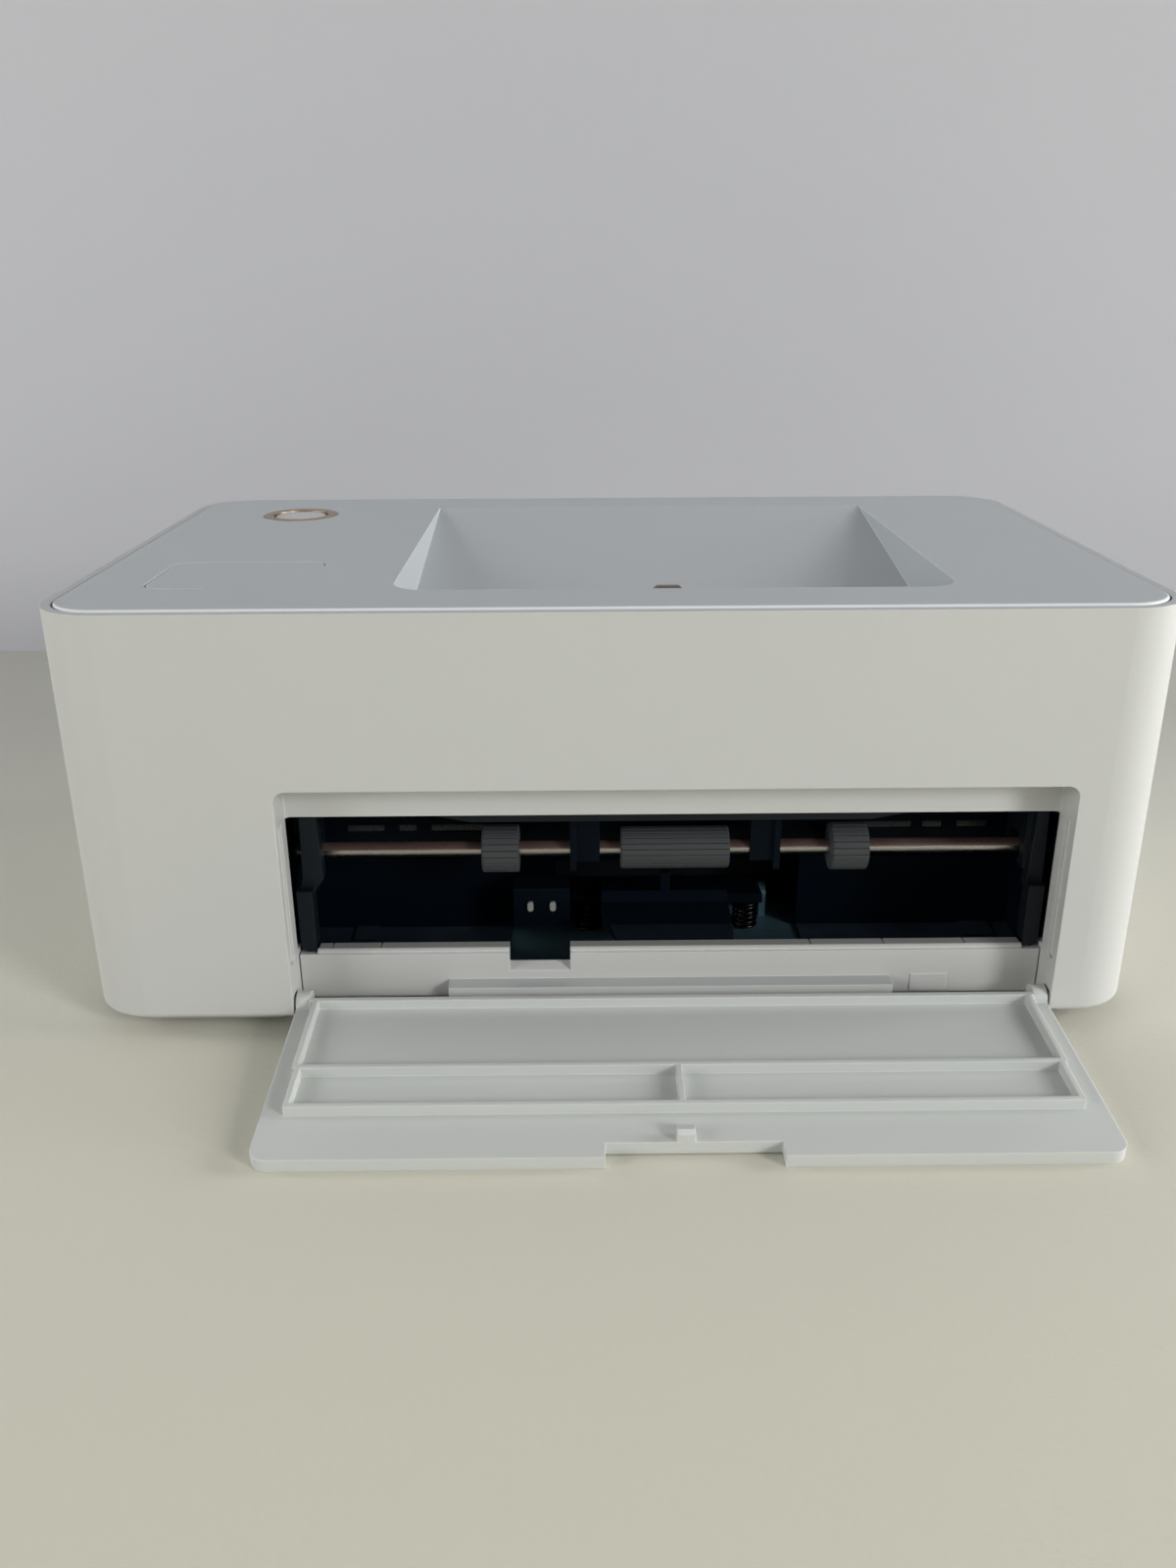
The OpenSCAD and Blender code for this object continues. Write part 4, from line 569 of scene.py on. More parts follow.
class FinishShop:
    """Builds the node groups once and each finish's material from them.

    The spans are of the texture's height for the play in roughness, and of the normal's upward part for faces
    that are steep and for faces that are flat, between which the slanting rim faces take the painted
    highlight.
    """

    patch_shade = 0.93
    # Default lightening of the painted edge highlight and wear
    edge_highlight_and_wear_gain = 1.06
    least_rough = 0.02
    rough_play = 0.05
    grain_span: Span = (0.3, 0.7)
    steep: Span = (0.1, 0.3)
    flat: Span = (0.97, 0.85)

    def __init__(self) -> None:
        """Makes the shared groups."""
        self.spark = spark_group()
        self.drawn = drawn_group()
        self.dust_and_sheen = dust_and_sheen_group()
        self.edge = edge_group()
        self.made: dict[str, bpy.types.Material] = {}

    def material(self, finish: Finish) -> bpy.types.Material:
        """The material of a finish, made on first use.

        Args:
            finish: The finish.

        Returns:
            The material.
        """
        if finish.name not in self.made:
            self.made[finish.name] = self._build(finish)
        return self.made[finish.name]

    def _build(self, f: Finish) -> bpy.types.Material:
        """Builds the nodes of a finish.

        Args:
            f: The finish.

        Returns:
            The new material.
        """
        mat, tree, place = blank_material(f.name)
        soft = add_node(tree, "ShaderNodeBevel", {"Radius": f.edge}, samples=4).outputs[0]
        height, patches = self._grain(tree, place, f)
        colour = mix_colours(tree, patches, f.colour, f.tint or scaled(f.colour, self.patch_shade))
        edges = self._edges(tree, place, soft, f)
        # Painted highlight and wear on the rounded edges; painted highlight alone on the slanting rim faces
        colour = mix_colours(tree, edges, colour, f.edge_highlight_and_wear_colour or scaled(f.colour, self.edge_highlight_and_wear_gain))
        rough = ramp(tree, height, *self.grain_span, max(self.least_rough, f.roughness - self.rough_play),
                     min(1.0, f.roughness + self.rough_play))
        # The veil is grime on most finishes; on the upward faces deep in the bay it is painted light
        if f.dust_and_sheen > 0 or f.speck_share > 0:
            colour, rough = self._dust_and_sheen(tree, place, f, colour, rough)
        metallic = f.metallic
        # Painted shade on what faces up; on the shaft it is a painted reflection of the dark bay roof, and
        # the metal gives way there
        if f.upper is not None:
            upper = ramp(tree, part_of(tree, soft, Axis.Z), *f.painted_top_span)
            colour = mix_colours(tree, upper, colour, f.upper)
            metallic = ramp(tree, upper, 0.0, 1.0, f.metallic, 0.0)
        bump = add_node(tree, "ShaderNodeBump", {"Height": height, "Strength": 1.0, "Distance": f.depth,
                                                 "Normal": soft}).outputs[0]
        skin = add_node(tree, "ShaderNodeBsdfPrincipled", {
            "Base Color": colour, "Roughness": rough, "Metallic": metallic, "Specular IOR Level": f.specular,
            "Coat Weight": f.coat, "Normal": bump})
        add_node(tree, "ShaderNodeOutputMaterial", {"Surface": skin.outputs[0]})
        return mat

    def _grain(self, tree: Tree, place: Socket, f: Finish) -> tuple[Socket, Socket]:
        """Adds the fine texture.

        Args:
            tree: The material's node tree.
            place: Socket of the place on the piece.
            f: The finish.

        Returns:
            Sockets of the texture's height and of the patches that take the tint.
        """
        if f.lay is Lay.DRAWN:
            grain = add_node(tree, "ShaderNodeGroup", {"Vector": place, "Pitch": f.pitch,
                                                       "Stretch": f.stretch}, node_tree=self.drawn)
            return grain.outputs["Lines"], grain.outputs["Scratches"]
        grain = add_node(tree, "ShaderNodeGroup", {"Vector": place, "Pitch": f.pitch,
                                                   "Patch": f.patch}, node_tree=self.spark)
        return grain.outputs["Height"], grain.outputs["Patches"]

    def _edges(self, tree: Tree, place: Socket, soft: Socket, f: Finish) -> Socket:
        """Adds the mask of the edges, and of the slanting faces above the height f.lip, which take the
        painted edge highlight and wear; on the slanting rim faces it is painted highlight alone.

        Args:
            tree: The material's node tree.
            place: Socket of the place on the piece.
            soft: Socket of the normal with rounded edges.
            f: The finish.

        Returns:
            The mask's socket.
        """
        edge = add_node(tree, "ShaderNodeGroup", {"Soft": soft}, node_tree=self.edge).outputs["Edge"]
        if f.lip is None:
            return edge
        facing = part_of(tree, add_node(tree, "ShaderNodeNewGeometry", {}).outputs["Normal"], Axis.Z)
        mask = maths(tree, "GREATER_THAN", part_of(tree, place, Axis.Z), f.lip)
        for span in (self.steep, self.flat):
            mask = maths(tree, "MULTIPLY", mask, ramp(tree, facing, *span))
        return maths(tree, "MAXIMUM", mask, edge)

    def _dust_and_sheen(self, tree: Tree, place: Socket, f: Finish, colour: Socket,
                rough: Socket) -> tuple[Socket, Socket]:
        """Lays specks and the upward veil on a surface: grime, and painted light where a finish sets the veil
        high.

        Args:
            tree: The material's node tree.
            place: Socket of the place on the piece.
            f: The finish.
            colour: Socket of the clean colour.
            rough: Socket of the clean roughness.

        Returns:
            Sockets of the dusty colour and roughness.
        """
        fall = add_node(tree, "ShaderNodeGroup", {"Vector": place, "Spacing": f.spacing, "Speck": f.speck,
                                                  "Share": f.speck_share}, node_tree=self.dust_and_sheen)
        veil = maths(tree, "MULTIPLY", fall.outputs["Veil"], f.dust_and_sheen)
        colour = mix_colours(tree, veil, colour, f.dust_and_sheen_colour)
        colour = mix_colours(tree, fall.outputs["Specks"], colour, f.speck_colour)
        return colour, maths(tree, "ADD", veil, rough, clamp=True)

    def dress(self, piece: bpy.types.Object, finish: Finish) -> None:
        """Gives an object a finish in each of its slots.

        Args:
            piece: The object.
            finish: Its finish.
        """
        mat = self.material(finish)
        if not piece.material_slots:
            piece.data.materials.append(mat)
        for slot in piece.material_slots:
            slot.material = mat


WHITE_SPECKS: dict[str, float] = {"speck_share": 0.05, "spacing": 9 * MM, "speck": 0.022}
FINISHES: dict[str, Finish] = {
    # The casing's top is painted darker (painted shade); its edge colour and lip paint highlights on its
    # edges and rim
    "casing": Finish("casing_white", (0.578, 0.583, 0.561), 0.42, patch=40 * MM, tint=(0.562, 0.569, 0.549),
                     edge_highlight_and_wear_colour=(0.76, 0.77, 0.75), upper=(0.46, 0.47, 0.475), painted_top_span=(0.9, 0.97),
                     lip=67.4 * MM, **WHITE_SPECKS),
    # The cover's edge colour and lip paint the bright highlight along its front fillet
    "cover": Finish("cover_white", (0.459, 0.488, 0.500), 0.44, patch=35 * MM, tint=(0.445, 0.474, 0.488),
                    edge_highlight_and_wear_colour=(0.80, 0.83, 0.84), lip=67.8 * MM, **WHITE_SPECKS),
    # The door's wide, bright edge colour paints highlights on its rib tops and edges
    "door": Finish("door_white", (0.625, 0.645, 0.618), 0.36, patch=25 * MM, tint=(0.605, 0.627, 0.602),
                   edge=0.3 * MM, edge_highlight_and_wear_colour=(0.85, 0.86, 0.84), **WHITE_SPECKS),
    "base": Finish("base_grey", (0.40, 0.405, 0.40), 0.5),
    "feet": Finish("foot_rubber", (0.03, 0.03, 0.031), 0.8, lay=Lay.CAST, pitch=0.5 * MM, depth=0.02 * MM),
    "steel": Finish("bright_steel", (0.56, 0.57, 0.58), 0.3, metallic=1.0, lay=Lay.DRAWN,
                    stretch=(0.08, 1, 1), tint=(0.42, 0.42, 0.42), edge=0.12 * MM),
    "dark_steel": Finish("blued_steel", (0.075, 0.15, 0.19), 0.42, metallic=0.5, lay=Lay.DRAWN,
                         stretch=(0.1, 1, 1), tint=(0.055, 0.11, 0.14), dust_and_sheen=0.05, edge=0.15 * MM),
    "spring_steel": Finish("spring_wire", (0.03, 0.026, 0.021), 0.25, metallic=1.0, lay=Lay.DRAWN,
                           pitch=0.15 * MM, edge=0.05 * MM),
    # The shaft's upper half is painted dark brown: a painted reflection of the bay roof
    "shaft_chrome": Finish("shaft_chrome", (0.50, 0.46, 0.42), 0.27, metallic=1.0, lay=Lay.DRAWN,
                           stretch=(0.05, 1, 1), tint=(0.30, 0.26, 0.23), edge=0.1 * MM, depth=0.003 * MM,
                           upper=(0.075, 0.048, 0.044)),
    "bay_black": Finish("bay_black", (0.0022, 0.005, 0.009), 0.4, tint=(0.0018, 0.004, 0.0075), dust_and_sheen=0.012,
                        specular=0.06, dust_and_sheen_colour=(0.05, 0.06, 0.07), speck_share=0.1,
                        speck_colour=(0.2, 0.19, 0.18), spacing=4 * MM, speck=0.03, edge=0.2 * MM,
                        edge_highlight_and_wear_colour=(0.005, 0.0085, 0.0125)),
    # bay_wall: a darker copy of the black plastic, painted shade deep in the bay; its full upward veil is
    # painted light on the faces that look up
    "bay_wall": Finish("bay_wall", (0.0014, 0.0042, 0.0085), 0.4, tint=(0.0011, 0.0036, 0.0072), dust_and_sheen=1.0,
                       specular=0.06, dust_and_sheen_colour=(0.028, 0.042, 0.062), speck_share=0.1,
                       speck_colour=(0.2, 0.19, 0.18), spacing=4 * MM, speck=0.03, edge=0.2 * MM,
                       edge_highlight_and_wear_colour=(0.006, 0.0115, 0.0175)),
    "guide_black": Finish("guide_black", (0.006, 0.0095, 0.0135), 0.42, tint=(0.0045, 0.0075, 0.011),
                          specular=0.22, dust_and_sheen=0.02, dust_and_sheen_colour=(0.08, 0.09, 0.1), edge=0.2 * MM,
                          edge_highlight_and_wear_colour=(0.012, 0.017, 0.022)),
    "smoked_plastic": Finish("smoked_plastic", (0.014, 0.0155, 0.018), 0.3, tint=(0.011, 0.0125, 0.015)),
    "strip_grey": Finish("strip_grey", (0.34, 0.35, 0.34), 0.45, edge=0.08 * MM),
    "engine_grey": Finish("engine_grey", (0.008, 0.011, 0.015), 0.5, specular=0.2),
    "inner_white": Finish("inner_white", (0.66, 0.65, 0.60), 0.45, edge=0.1 * MM),
    "contact_grey": Finish("contact_grey", (0.30, 0.30, 0.29), 0.4, edge=0.1 * MM),
    "roller_rubber": Finish("roller_rubber", (0.048, 0.053, 0.057), 0.75, lay=Lay.CAST, pitch=0.25 * MM,
                            depth=0.02 * MM, tint=(0.034, 0.038, 0.04), edge=0.08 * MM,
                            edge_highlight_and_wear_colour=(0.065, 0.07, 0.073)),
    "platen_rubber": Finish("platen_rubber", (0.012, 0.012, 0.012), 0.6, lay=Lay.CAST, depth=0.01 * MM),
    "heat_sink": Finish("heat_sink", (0.6, 0.61, 0.62), 0.35, metallic=1.0, lay=Lay.DRAWN,
                        stretch=(0.05, 1, 1)),
    "brass": Finish("turned_brass", (0.62, 0.43, 0.16), 0.3, metallic=1.0, lay=Lay.DRAWN,
                    stretch=(1, 0.1, 0.1)),
    "gold_ring": Finish("ring_gold", (0.32, 0.245, 0.175), 0.34, metallic=0.85, lay=Lay.DRAWN, pitch=0.2 * MM,
                        stretch=(1, 1, 0.1), tint=(0.30, 0.22, 0.15), edge=0.1 * MM),
    "button_white": Finish("button_white", (0.49, 0.505, 0.515), 0.24, edge=0.15 * MM, coat=0.3,
                           speck_share=0.25, spacing=3 * MM, speck=0.05),
    "circuit_board": Finish("board_green", (0.01, 0.09, 0.03), 0.35, coat=0.4, edge=0.1 * MM),
    "plug_metal": Finish("plug_nickel", (0.26, 0.23, 0.21), 0.42, metallic=0.7, lay=Lay.DRAWN, pitch=0.2 * MM,
                         stretch=(1, 1, 0.1), edge=0.1 * MM),
}


# Nodes whose shade differs from that of their slot: the bay frame takes bay_wall, a darker copy of the black
# plastic that paints the shade in the bay
OWN_SHADES: dict[str, str] = {"bay_frame": "bay_wall", "feed_bushes": "bay_black"}


# ---- sub-assemblies ----------------------------------------------------------------------------


@dataclass
class SubAssembly:
    """A group of pieces that ride on the CAD bodies."""

    shop: FinishShop

    def place(self, name: str, mesh: Mesh, slot: str, stands_for: str, body: str) -> None:
        """Makes a piece, dresses it and lets it ride on its body in place of a node.

        Args:
            name: The piece's name.
            mesh: Its vertices and faces.
            slot: The record's material slot.
            stands_for: The CAD node that it replaces.
            body: The body that it rides on.
        """
        piece = make_piece(name, *mesh)
        self.shop.dress(piece, FINISHES[slot])
        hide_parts(stands_for)
        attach(piece, body)
        log.info("%s: %d faces", name, len(piece.data.polygons))


@dataclass
class CarriedNodes(SubAssembly):
    """The CAD solids that stay as they are and only get their finish."""

    def build(self) -> None:
        """Dresses each node with the finish of its material slot, or with a shade of its own."""
        for part in frame["record"]["subparts"]:
            finish = OWN_SHADES.get(part["node"], part["material_slot"])
            self.shop.dress(frame["nodes"][part["node"]], FINISHES[finish])


@dataclass
class PickRollers(SubAssembly):
    """The three rubber rollers on the feed shaft, fluted along their length."""

    depth: float = 0.4 * MM
    bevel: float = 0.35 * MM
    bore: float = 1.25 * MM
    flutes: int = 22
    sharpness: int = 40
    steps: int = 20
    arc_steps: int = 6
    body_steps: int = 5
    sides: tuple[str, ...] = ("left", "middle", "right")

    def build(self) -> None:
        """Makes the rollers.

        The radius at the angle v is R - depth * g(v), where g is a narrow cosine dip at each flute:
        g = max(0, cos(n v))^sharpness. Each flute has the same number of steps.
        """
        segments = self.flutes * self.steps
        v = np.linspace(0, 2 * np.pi, segments, endpoint=False)
        dip = self.depth * np.maximum(0, np.cos(self.flutes * v)) ** self.sharpness
        for side in self.sides:
            node = f"pick_roller_{side}"
            low, high = (np.array(c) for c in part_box(node))
            mid, width, r = (low + high) / 2, high[0] - low[0], (high[2] - low[2]) / 2
            arc = np.linspace(0, np.pi / 2, self.arc_steps)
            half, b = width / 2, self.bevel
            left = [(-half, self.bore, 0), (-half, r - b, 0)]
            left += [(-half + b * (1 - math.cos(t)), r - b + b * math.sin(t), math.sin(t)) for t in arc[1:]]
            body = [(x, r, 1) for x in np.linspace(-half + 2 * b, half - 2 * b, self.body_steps)]
            right = [(-a, q, k) for a, q, k in reversed(left)]
            profile = np.array(left + body + right)
            points, faces = turned(profile, tuple(mid), Axis.X, flute=dip, segments=segments)
            # The bore joins the two ends, so the end faces give way to a wall round the shaft
            last = (len(profile) - 1) * segments
            ring = [(j, (j + 1) % segments, last + (j + 1) % segments, last + j) for j in range(segments)]
            self.place(f"fluted_roller_{side}", (points, faces[:-2] + ring), "roller_rubber", node, "feed")


@dataclass
class PowerKey(SubAssembly):
    """The round key with its dished top, and the gold ring round it."""

    cap_round: float = 0.9 * MM
    dish: float = 0.12 * MM
    flange_out: float = 0.9 * MM
    flange: float = 1.2 * MM
    stem: float = 1.8 * MM
    skirt: float = 3.2 * MM
    pole: float = 0.02 * MM
    edge_drop: float = 0.55
    ring_gap: float = 0.25 * MM
    sleeve: float = 0.65 * MM
    band: float = 1.1 * MM
    lip_round: float = 0.22 * MM
    cap_steps: int = 14
    arc_steps: int = 8
    lip_steps: int = 6

    def build(self) -> None:
        """Makes the key and its ring from their nodes' boxes."""
        self._key()
        self._ring()

    def _key(self) -> None:
        """Turns the key: z(r) = top - dish * (r / R)^4 on the cap, then a rounded edge that drops by a
        share of its radius, the wall, the flange that keeps it in, and the stem."""
        low, high = (np.array(c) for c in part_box("power_button"))
        mid, top, bottom = (low + high) / 2, high[2], low[2]
        r = (high[0] - low[0]) / 2 - self.flange_out
        inner = np.linspace(self.pole, r - self.cap_round, self.cap_steps)
        cap = [(top - self.dish * (q / r) ** 4, q) for q in inner]
        edge_top = cap[-1][0]
        arc = np.linspace(0, np.pi / 2, self.arc_steps)[1:]
        fall = self.cap_round * self.edge_drop
        edge = [(edge_top - fall * (1 - math.cos(t)), inner[-1] + self.cap_round * math.sin(t)) for t in arc]
        low_wall = top - self.skirt
        rest = [(low_wall, r), (low_wall, r + self.flange_out), (low_wall - self.flange, r + self.flange_out),
                (low_wall - self.flange, self.stem), (bottom, self.stem), (bottom, self.pole)]
        profile = np.array(cap + edge + rest)
        mesh = turned(profile, (mid[0], mid[1], 0.0), Axis.Z)
        self.place("power_key", mesh, "button_white", "power_button", "button")

    def _ring(self) -> None:
        """Turns the ring: a flat gold band with a rounded outer lip and a sleeve below it."""
        low, high = (np.array(c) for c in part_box("button_ring"))
        mid, r, top = (low + high) / 2, (high[0] - low[0]) / 2, high[2]
        key_low, key_high = (np.array(c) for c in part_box("power_button"))
        bore = (key_high[0] - key_low[0]) / 2 - self.flange_out + self.ring_gap
        sleeve, under = bore + self.sleeve, top - self.band
        outline = [(low[2], bore), (low[2], sleeve), (under, sleeve), (under, r), (top, r), (top, bore),
                   (low[2], bore)]
        profile = rounded(outline, self.lip_round, self.lip_steps)[:-1]
        mesh = ring_of(profile, (mid[0], mid[1], 0.0), Axis.Z)
        self.place("key_ring", mesh, "gold_ring", "button_ring", "case")


@dataclass
class LiftSprings(SubAssembly):
    """The two coil springs under the lift plate, with closed ends."""

    coil_radius: float = 1.95 * MM
    wire: float = 0.25 * MM
    turns: float = 6.0
    closed: float = 0.9
    closed_pitch: float = 2.05
    keep: float = 0.8
    steps: int = 420
    sides: int = 12

    def build(self) -> None:
        """Winds both coils.

        The wire's middle runs as c(t) = (R cos 2 pi N t, R sin 2 pi N t, z(t)), where z stays almost
        level over the closed turns at both ends and rises evenly between them. A closed turn rises by
        closed_pitch times the wire's radius.
        """
        low, high = (np.array(c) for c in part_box("lift_springs"))
        mid_y, r = (low[1] + high[1]) / 2, self.coil_radius + self.wire
        t = np.linspace(0, 1, self.steps)[:, None]
        b = np.linspace(0, 2 * np.pi, self.sides, endpoint=False)[None, :]
        share = self.closed / self.turns
        climb = np.clip((t - share) / (1 - 2 * share), 0, 1)
        pitch = self.closed_pitch * self.wire
        z0, z1 = low[2] + self.wire, high[2] - self.wire
        rise = z1 - z0 - 2 * pitch * self.closed
        ends = np.minimum(t, share) / share + np.maximum(0, t - 1 + share) / share
        z = z0 + rise * climb + pitch * self.closed * ends
        a = 2 * np.pi * self.turns * t
        coils = []
        for x in (low[0] + r, high[0] - r):
            out = self.coil_radius + self.wire * np.cos(b)
            rings = np.stack([x + out * np.cos(a), mid_y + out * np.sin(a), z + self.wire * np.sin(b)], -1)
            coils.append(closed_tube(rings))
        piece = make_piece("lift_coils", *joined(coils))
        self.shop.dress(piece, FINISHES["spring_steel"])
        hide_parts("lift_springs")
        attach(piece, "case")
        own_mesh(piece)
        log.info("lift_coils: %d faces", len(piece.data.polygons))


# ---- stage -------------------------------------------------------------------------------------


@dataclass
class StageSheet:
    """A flat sheet of the stage. It shows only from its front, so that it never hides the part."""

    wall_y: float = 0.197
    reach: float = 1.6

    def lay(self, name: str, corners: list[Point], mat: bpy.types.Material) -> None:
        """Adds the sheet.

        Args:
            name: Its name.
            corners: Its four corners, turning left seen from its front.
            mat: Its material.
        """
        mesh = bpy.data.meshes.new(name)
        mesh.from_pydata(corners, [], [(0, 1, 2, 3)])
        sheet = bpy.data.objects.new(name, mesh)
        bpy.context.scene.collection.objects.link(sheet)
        mesh.materials.append(mat)

    @staticmethod
    def one_sided(tree: Tree, front: Socket) -> None:
        """Ends a material that is clear from behind.

        Args:
            tree: The material's node tree.
            front: Socket of the shader for the front.
        """
        behind = add_node(tree, "ShaderNodeNewGeometry", {}).outputs["Backfacing"]
        clear = add_node(tree, "ShaderNodeBsdfTransparent", {}).outputs[0]
        mixed = add_node(tree, "ShaderNodeMixShader", {0: behind, 1: front, 2: clear}).outputs[0]
        add_node(tree, "ShaderNodeOutputMaterial", {"Surface": mixed})


@dataclass
class TableTop(StageSheet):
    """The pale table: a matt sheet with faint stains and a few crumbs, with painted shade that makes it
    darker and bluer towards the wall.

    The spans are places along Y between which the painted shade comes in.
    """

    colour: Colour = (0.728, 0.703, 0.562)
    painted_far_tint: Colour = (0.93, 0.95, 1.08)
    painted_far_span: Span = (-0.22, 0.12)
    painted_wall_shade: float = 0.76
    painted_wall_span: Span = (0.04, 0.13)
    stain_scale: float = 9.0
    stain_share: float = 0.1
    stain_shade: float = 0.8
    grain_scale: float = 900.0
    grain_depth: float = 0.04 * MM
    crumb_spacing: float = 40 * MM
    crumb_size: float = 0.025
    crumb_share: float = 0.35
    crumb_colour: Colour = (0.12, 0.10, 0.08)
    roughness: float = 0.6
    specular: float = 0.3

    def build(self) -> None:
        """Makes the sheet and its material."""
        mat, tree, place = blank_material("table_sheet")
        colour = self._stained(tree, place)
        fall = add_node(tree, "ShaderNodeGroup", {
            "Vector": place, "Spacing": self.crumb_spacing, "Speck": self.crumb_size,
            "Share": self.crumb_share}, node_tree=dust_and_sheen_group())
        colour = mix_colours(tree, fall.outputs["Specks"], colour, self.crumb_colour)
        grain = noise(tree, place, self.grain_scale, 2.0)
        bump = add_node(tree, "ShaderNodeBump", {"Height": grain, "Distance": self.grain_depth,
                                                 "Strength": 1.0})
        skin = add_node(tree, "ShaderNodeBsdfPrincipled", {
            "Base Color": colour, "Roughness": self.roughness, "Specular IOR Level": self.specular,
            "Normal": bump.outputs[0]})
        self.one_sided(tree, skin.outputs[0])
        r, y = self.reach, self.wall_y
        self.lay("table", [(-r, -r, 0), (r, -r, 0), (r, y, 0), (-r, y, 0)], mat)

    def _stained(self, tree: Tree, place: Socket) -> Socket:
        """Mixes the table's own colour.

        Args:
            tree: The material's node tree.
            place: Socket of the place on the table.

        Returns:
            The colour's socket.
        """
        away = part_of(tree, place, Axis.Y)
        # Painted shade: the table darkens and cools towards the back, and darker still near the wall
        painted_far = tuple(c * t for c, t in zip(self.colour, self.painted_far_tint))
        colour = mix_colours(tree, ramp(tree, away, *self.painted_far_span), self.colour, painted_far)
        colour = mix_colours(tree, ramp(tree, away, *self.painted_wall_span), colour, scaled(painted_far, self.painted_wall_shade))
        share = maths(tree, "MULTIPLY", noise(tree, place, self.stain_scale, 3.0), self.stain_share)
        return mix_colours(tree, share, colour, scaled(self.colour, self.stain_shade))


@dataclass
class BackWall(StageSheet):
    """The plain wall behind, with painted light that makes it paler towards the left, and faint clouds.

    The span is the stretch along X over which the painted light gives way to painted shade.
    """

    colour: Colour = (0.508, 0.511, 0.537)
    span: Span = (-0.3, 0.3)
    painted_left_light: float = 1.14
    painted_right_shade: float = 0.86
    cloud_scale: float = 5.0
    cloud_share: float = 0.1
    cloud_shade: float = 0.7

    def build(self) -> None:
        """Makes the sheet and its material."""
        mat, tree, place = blank_material("wall_paint")
        # Painted light on the left, painted shade on the right
        across = ramp(tree, part_of(tree, place, Axis.X), *self.span)
        colour = mix_colours(tree, across, scaled(self.colour, self.painted_left_light),
                             scaled(self.colour, self.painted_right_shade))
        share = maths(tree, "MULTIPLY", noise(tree, place, self.cloud_scale, 2.0), self.cloud_share)
        colour = mix_colours(tree, share, colour, scaled(self.colour, self.cloud_shade))
        self.one_sided(tree, add_node(tree, "ShaderNodeBsdfDiffuse", {"Color": colour}).outputs[0])
        r, y = self.reach, self.wall_y
        self.lay("wall", [(-r, y, 0), (r, y, 0), (r, y, r), (-r, y, r)], mat)


@dataclass(frozen=True)
class Lamp:
    """A square area lamp that the camera doesn't see: its place, its side and its power in watts."""

    name: str
    place: Point
    size: float
    power: float

    def hang(self, aim: Point) -> None:
        """Adds the lamp and turns it towards a point.

        Args:
            aim: The point.
        """
        data = bpy.data.lights.new(self.name, "AREA")
        data.size, data.energy = self.size, self.power
        lamp = bpy.data.objects.new(self.name, data)
        lamp.location = self.place
        lamp.rotation_mode = "QUATERNION"
        lamp.rotation_quaternion = (Vector(aim) - Vector(self.place)).to_track_quat("-Z", "Y")
        lamp.visible_camera = False
        bpy.context.scene.collection.objects.link(lamp)


LAMPS = (
    Lamp("right_side", (0.9, 0.0, 0.25), 0.3, 4.97),
    Lamp("right_front", (1.0, -0.9, 0.5), 0.3, 7.7),
    Lamp("right_low", (0.9, -0.8, 0.12), 0.4, 1.7),
    Lamp("near_front", (0.5, -0.62, 0.36), 0.4, 0.67),
    Lamp("left_front", (-0.9, -0.5, 0.35), 0.5, 4.2),
    Lamp("left_back", (-0.9, 0.15, 0.35), 0.3, 2.25),
)
# Middle of the part's front
LAMP_AIM: Point = (0.0, -0.03, 0.03)


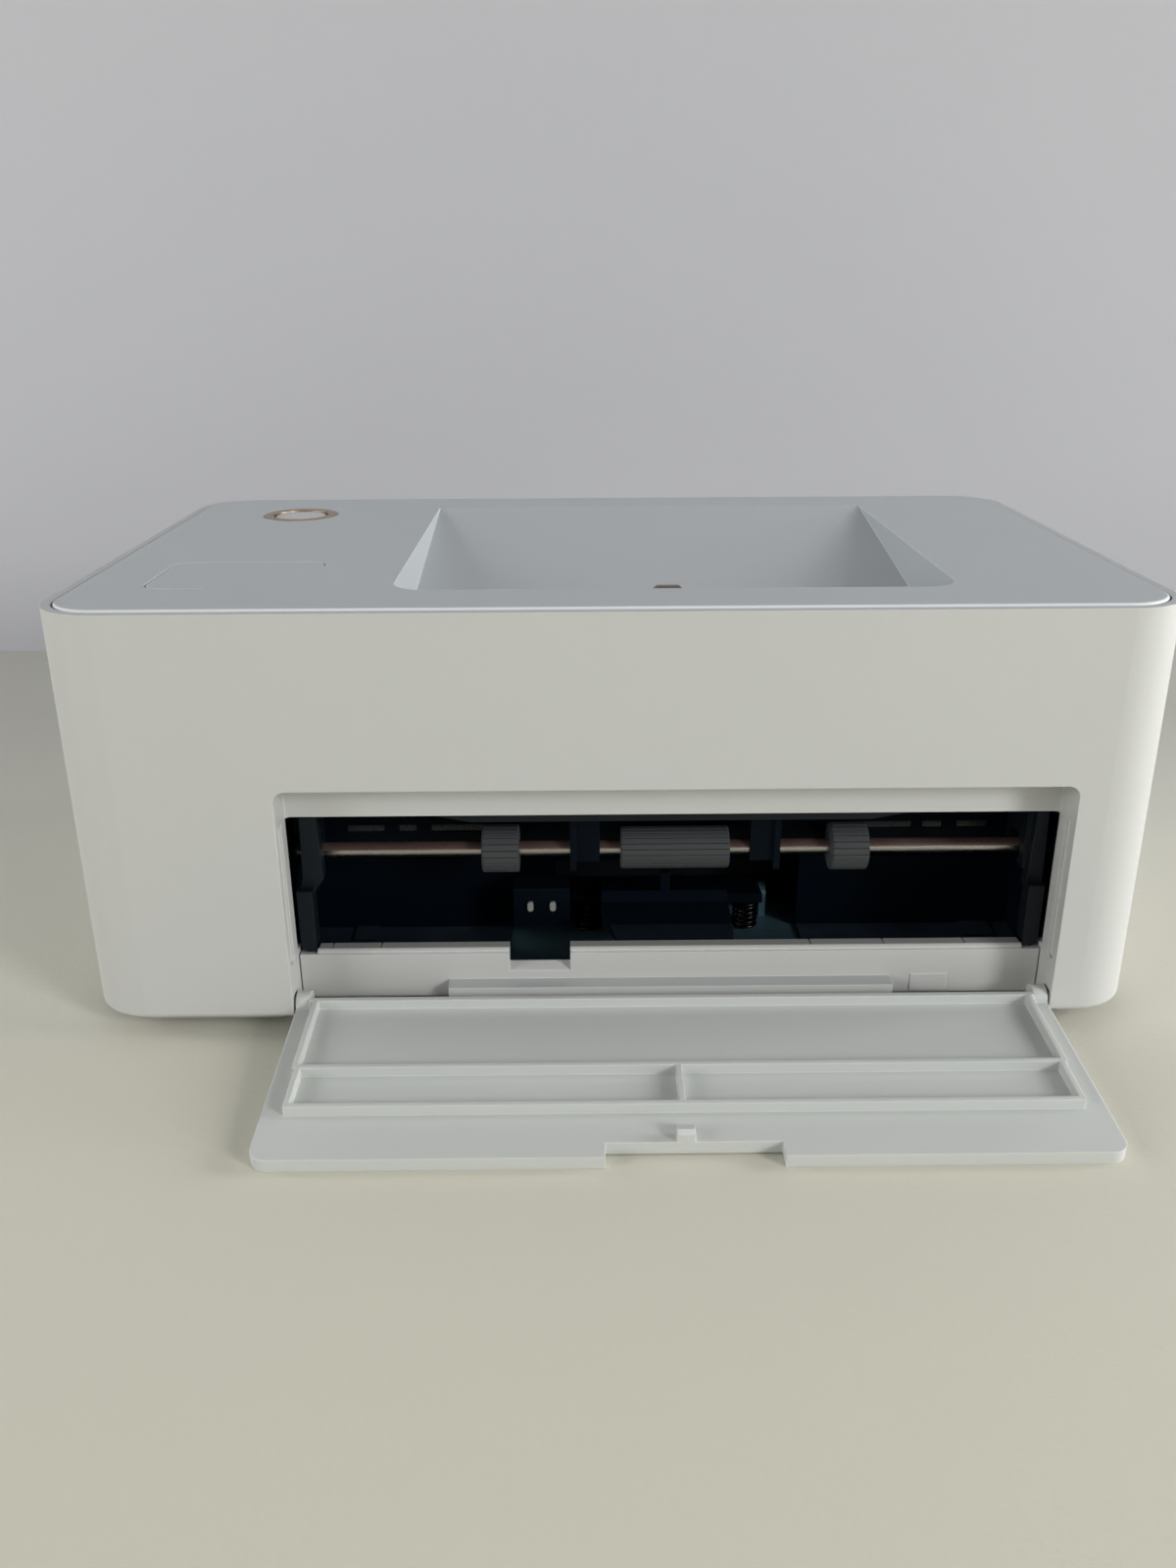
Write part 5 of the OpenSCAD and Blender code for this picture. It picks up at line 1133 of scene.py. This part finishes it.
@dataclass
class Surround:
    """Even pale light from all round. The camera sees a pale backdrop.

    So does the gloss, except towards the front and not too high, where it sees the darker room, and
    overhead, where it sees the lit ceiling. The spans are of the Y and Z of the way that a ray goes.
    """

    tint: Colour = (0.95, 0.98, 1.0)
    sky: float = 0.1
    backdrop: Colour = (0.47, 0.475, 0.48)
    room: Colour = (0.15, 0.12, 0.11)
    room_front: Span = (0.1, -0.2)
    room_top: Span = (0.9, 0.75)
    ceiling: Colour = (3.0, 3.05, 3.15)
    ceiling_from: Span = (0.88, 0.97)

    def build(self) -> None:
        """Makes the world and its nodes."""
        world = bpy.data.worlds.new("surround")
        bpy.context.scene.world = world
        world.use_nodes = True
        tree = world.node_tree
        tree.nodes.clear()
        path = add_node(tree, "ShaderNodeLightPath", {})
        gloss = path.outputs["Is Glossy Ray"]
        way = add_node(tree, "ShaderNodeTexCoord", {}).outputs["Generated"]
        height = part_of(tree, way, Axis.Z)
        front = ramp(tree, part_of(tree, way, Axis.Y), *self.room_front)
        in_room = maths(tree, "MULTIPLY", front, ramp(tree, height, *self.room_top))
        overhead = ramp(tree, height, *self.ceiling_from)
        shade = mix_colours(tree, maths(tree, "MULTIPLY", in_room, gloss), self.backdrop, self.room)
        shade = mix_colours(tree, maths(tree, "MULTIPLY", overhead, gloss), shade, self.ceiling)
        seen = maths(tree, "MAXIMUM", path.outputs["Is Camera Ray"], gloss)
        seen = maths(tree, "MAXIMUM", seen, path.outputs["Is Transmission Ray"])
        light = add_node(tree, "ShaderNodeBackground", {"Color": (*self.tint, 1.0), "Strength": self.sky})
        back = add_node(tree, "ShaderNodeBackground", {"Color": shade, "Strength": 1.0})
        mixed = add_node(tree, "ShaderNodeMixShader", {0: seen, 1: light.outputs[0], 2: back.outputs[0]})
        add_node(tree, "ShaderNodeOutputWorld", {"Surface": mixed.outputs[0]})


@dataclass
class Viewpoint:
    """The camera: forward = (sin yaw cos pitch, cos yaw cos pitch, -sin pitch), rolled about it.

    Angles are in degrees. The focal length is in pixels of a frame with longer_side of them on its
    longer side, and the sensor is in the camera's own millimetres.
    """

    eye: Point = (-4.95 * MM, -207.65 * MM, 110.22 * MM)
    pitch: float = 21.41
    yaw: float = 0.397
    roll: float = -0.303
    focal: float = 1294.0
    longer_side: float = 1600.0
    sensor: float = 36.0
    clip: Span = (0.01, 20.0)

    def build(self) -> None:
        """Makes the camera and looks through it."""
        p, w, q = (math.radians(a) for a in (self.pitch, self.yaw, self.roll))
        forward = np.array([math.sin(w) * math.cos(p), math.cos(w) * math.cos(p), -math.sin(p)])
        level = np.array([math.cos(w), -math.sin(w), 0.0])
        upright = np.cross(level, forward)
        right = math.cos(q) * level + math.sin(q) * upright
        up = -math.sin(q) * level + math.cos(q) * upright
        data = bpy.data.cameras.new("camera")
        data.sensor_width, data.lens = self.sensor, self.focal / self.longer_side * self.sensor
        data.clip_start, data.clip_end = self.clip
        cam = bpy.data.objects.new("camera", data)
        turn = Matrix([[right[i], up[i], -forward[i]] for i in range(3)]).to_4x4()
        cam.matrix_world = Matrix.Translation(self.eye) @ turn
        bpy.context.scene.collection.objects.link(cam)
        bpy.context.scene.camera = cam


def main() -> None:
    """Builds the pieces in order."""
    logging.basicConfig(level=logging.INFO, format="%(name)s: %(message)s")
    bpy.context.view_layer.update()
    bpy.context.scene.view_settings.view_transform = "Standard"
    shop = FinishShop()
    for assembly in (CarriedNodes(shop), PickRollers(shop), PowerKey(shop), LiftSprings(shop)):
        assembly.build()
    for sheet in (TableTop(), BackWall()):
        sheet.build()
    for lamp in LAMPS:
        lamp.hang(LAMP_AIM)
    Surround().build()
    Viewpoint().build()


if __name__ == "__main__":
    main()
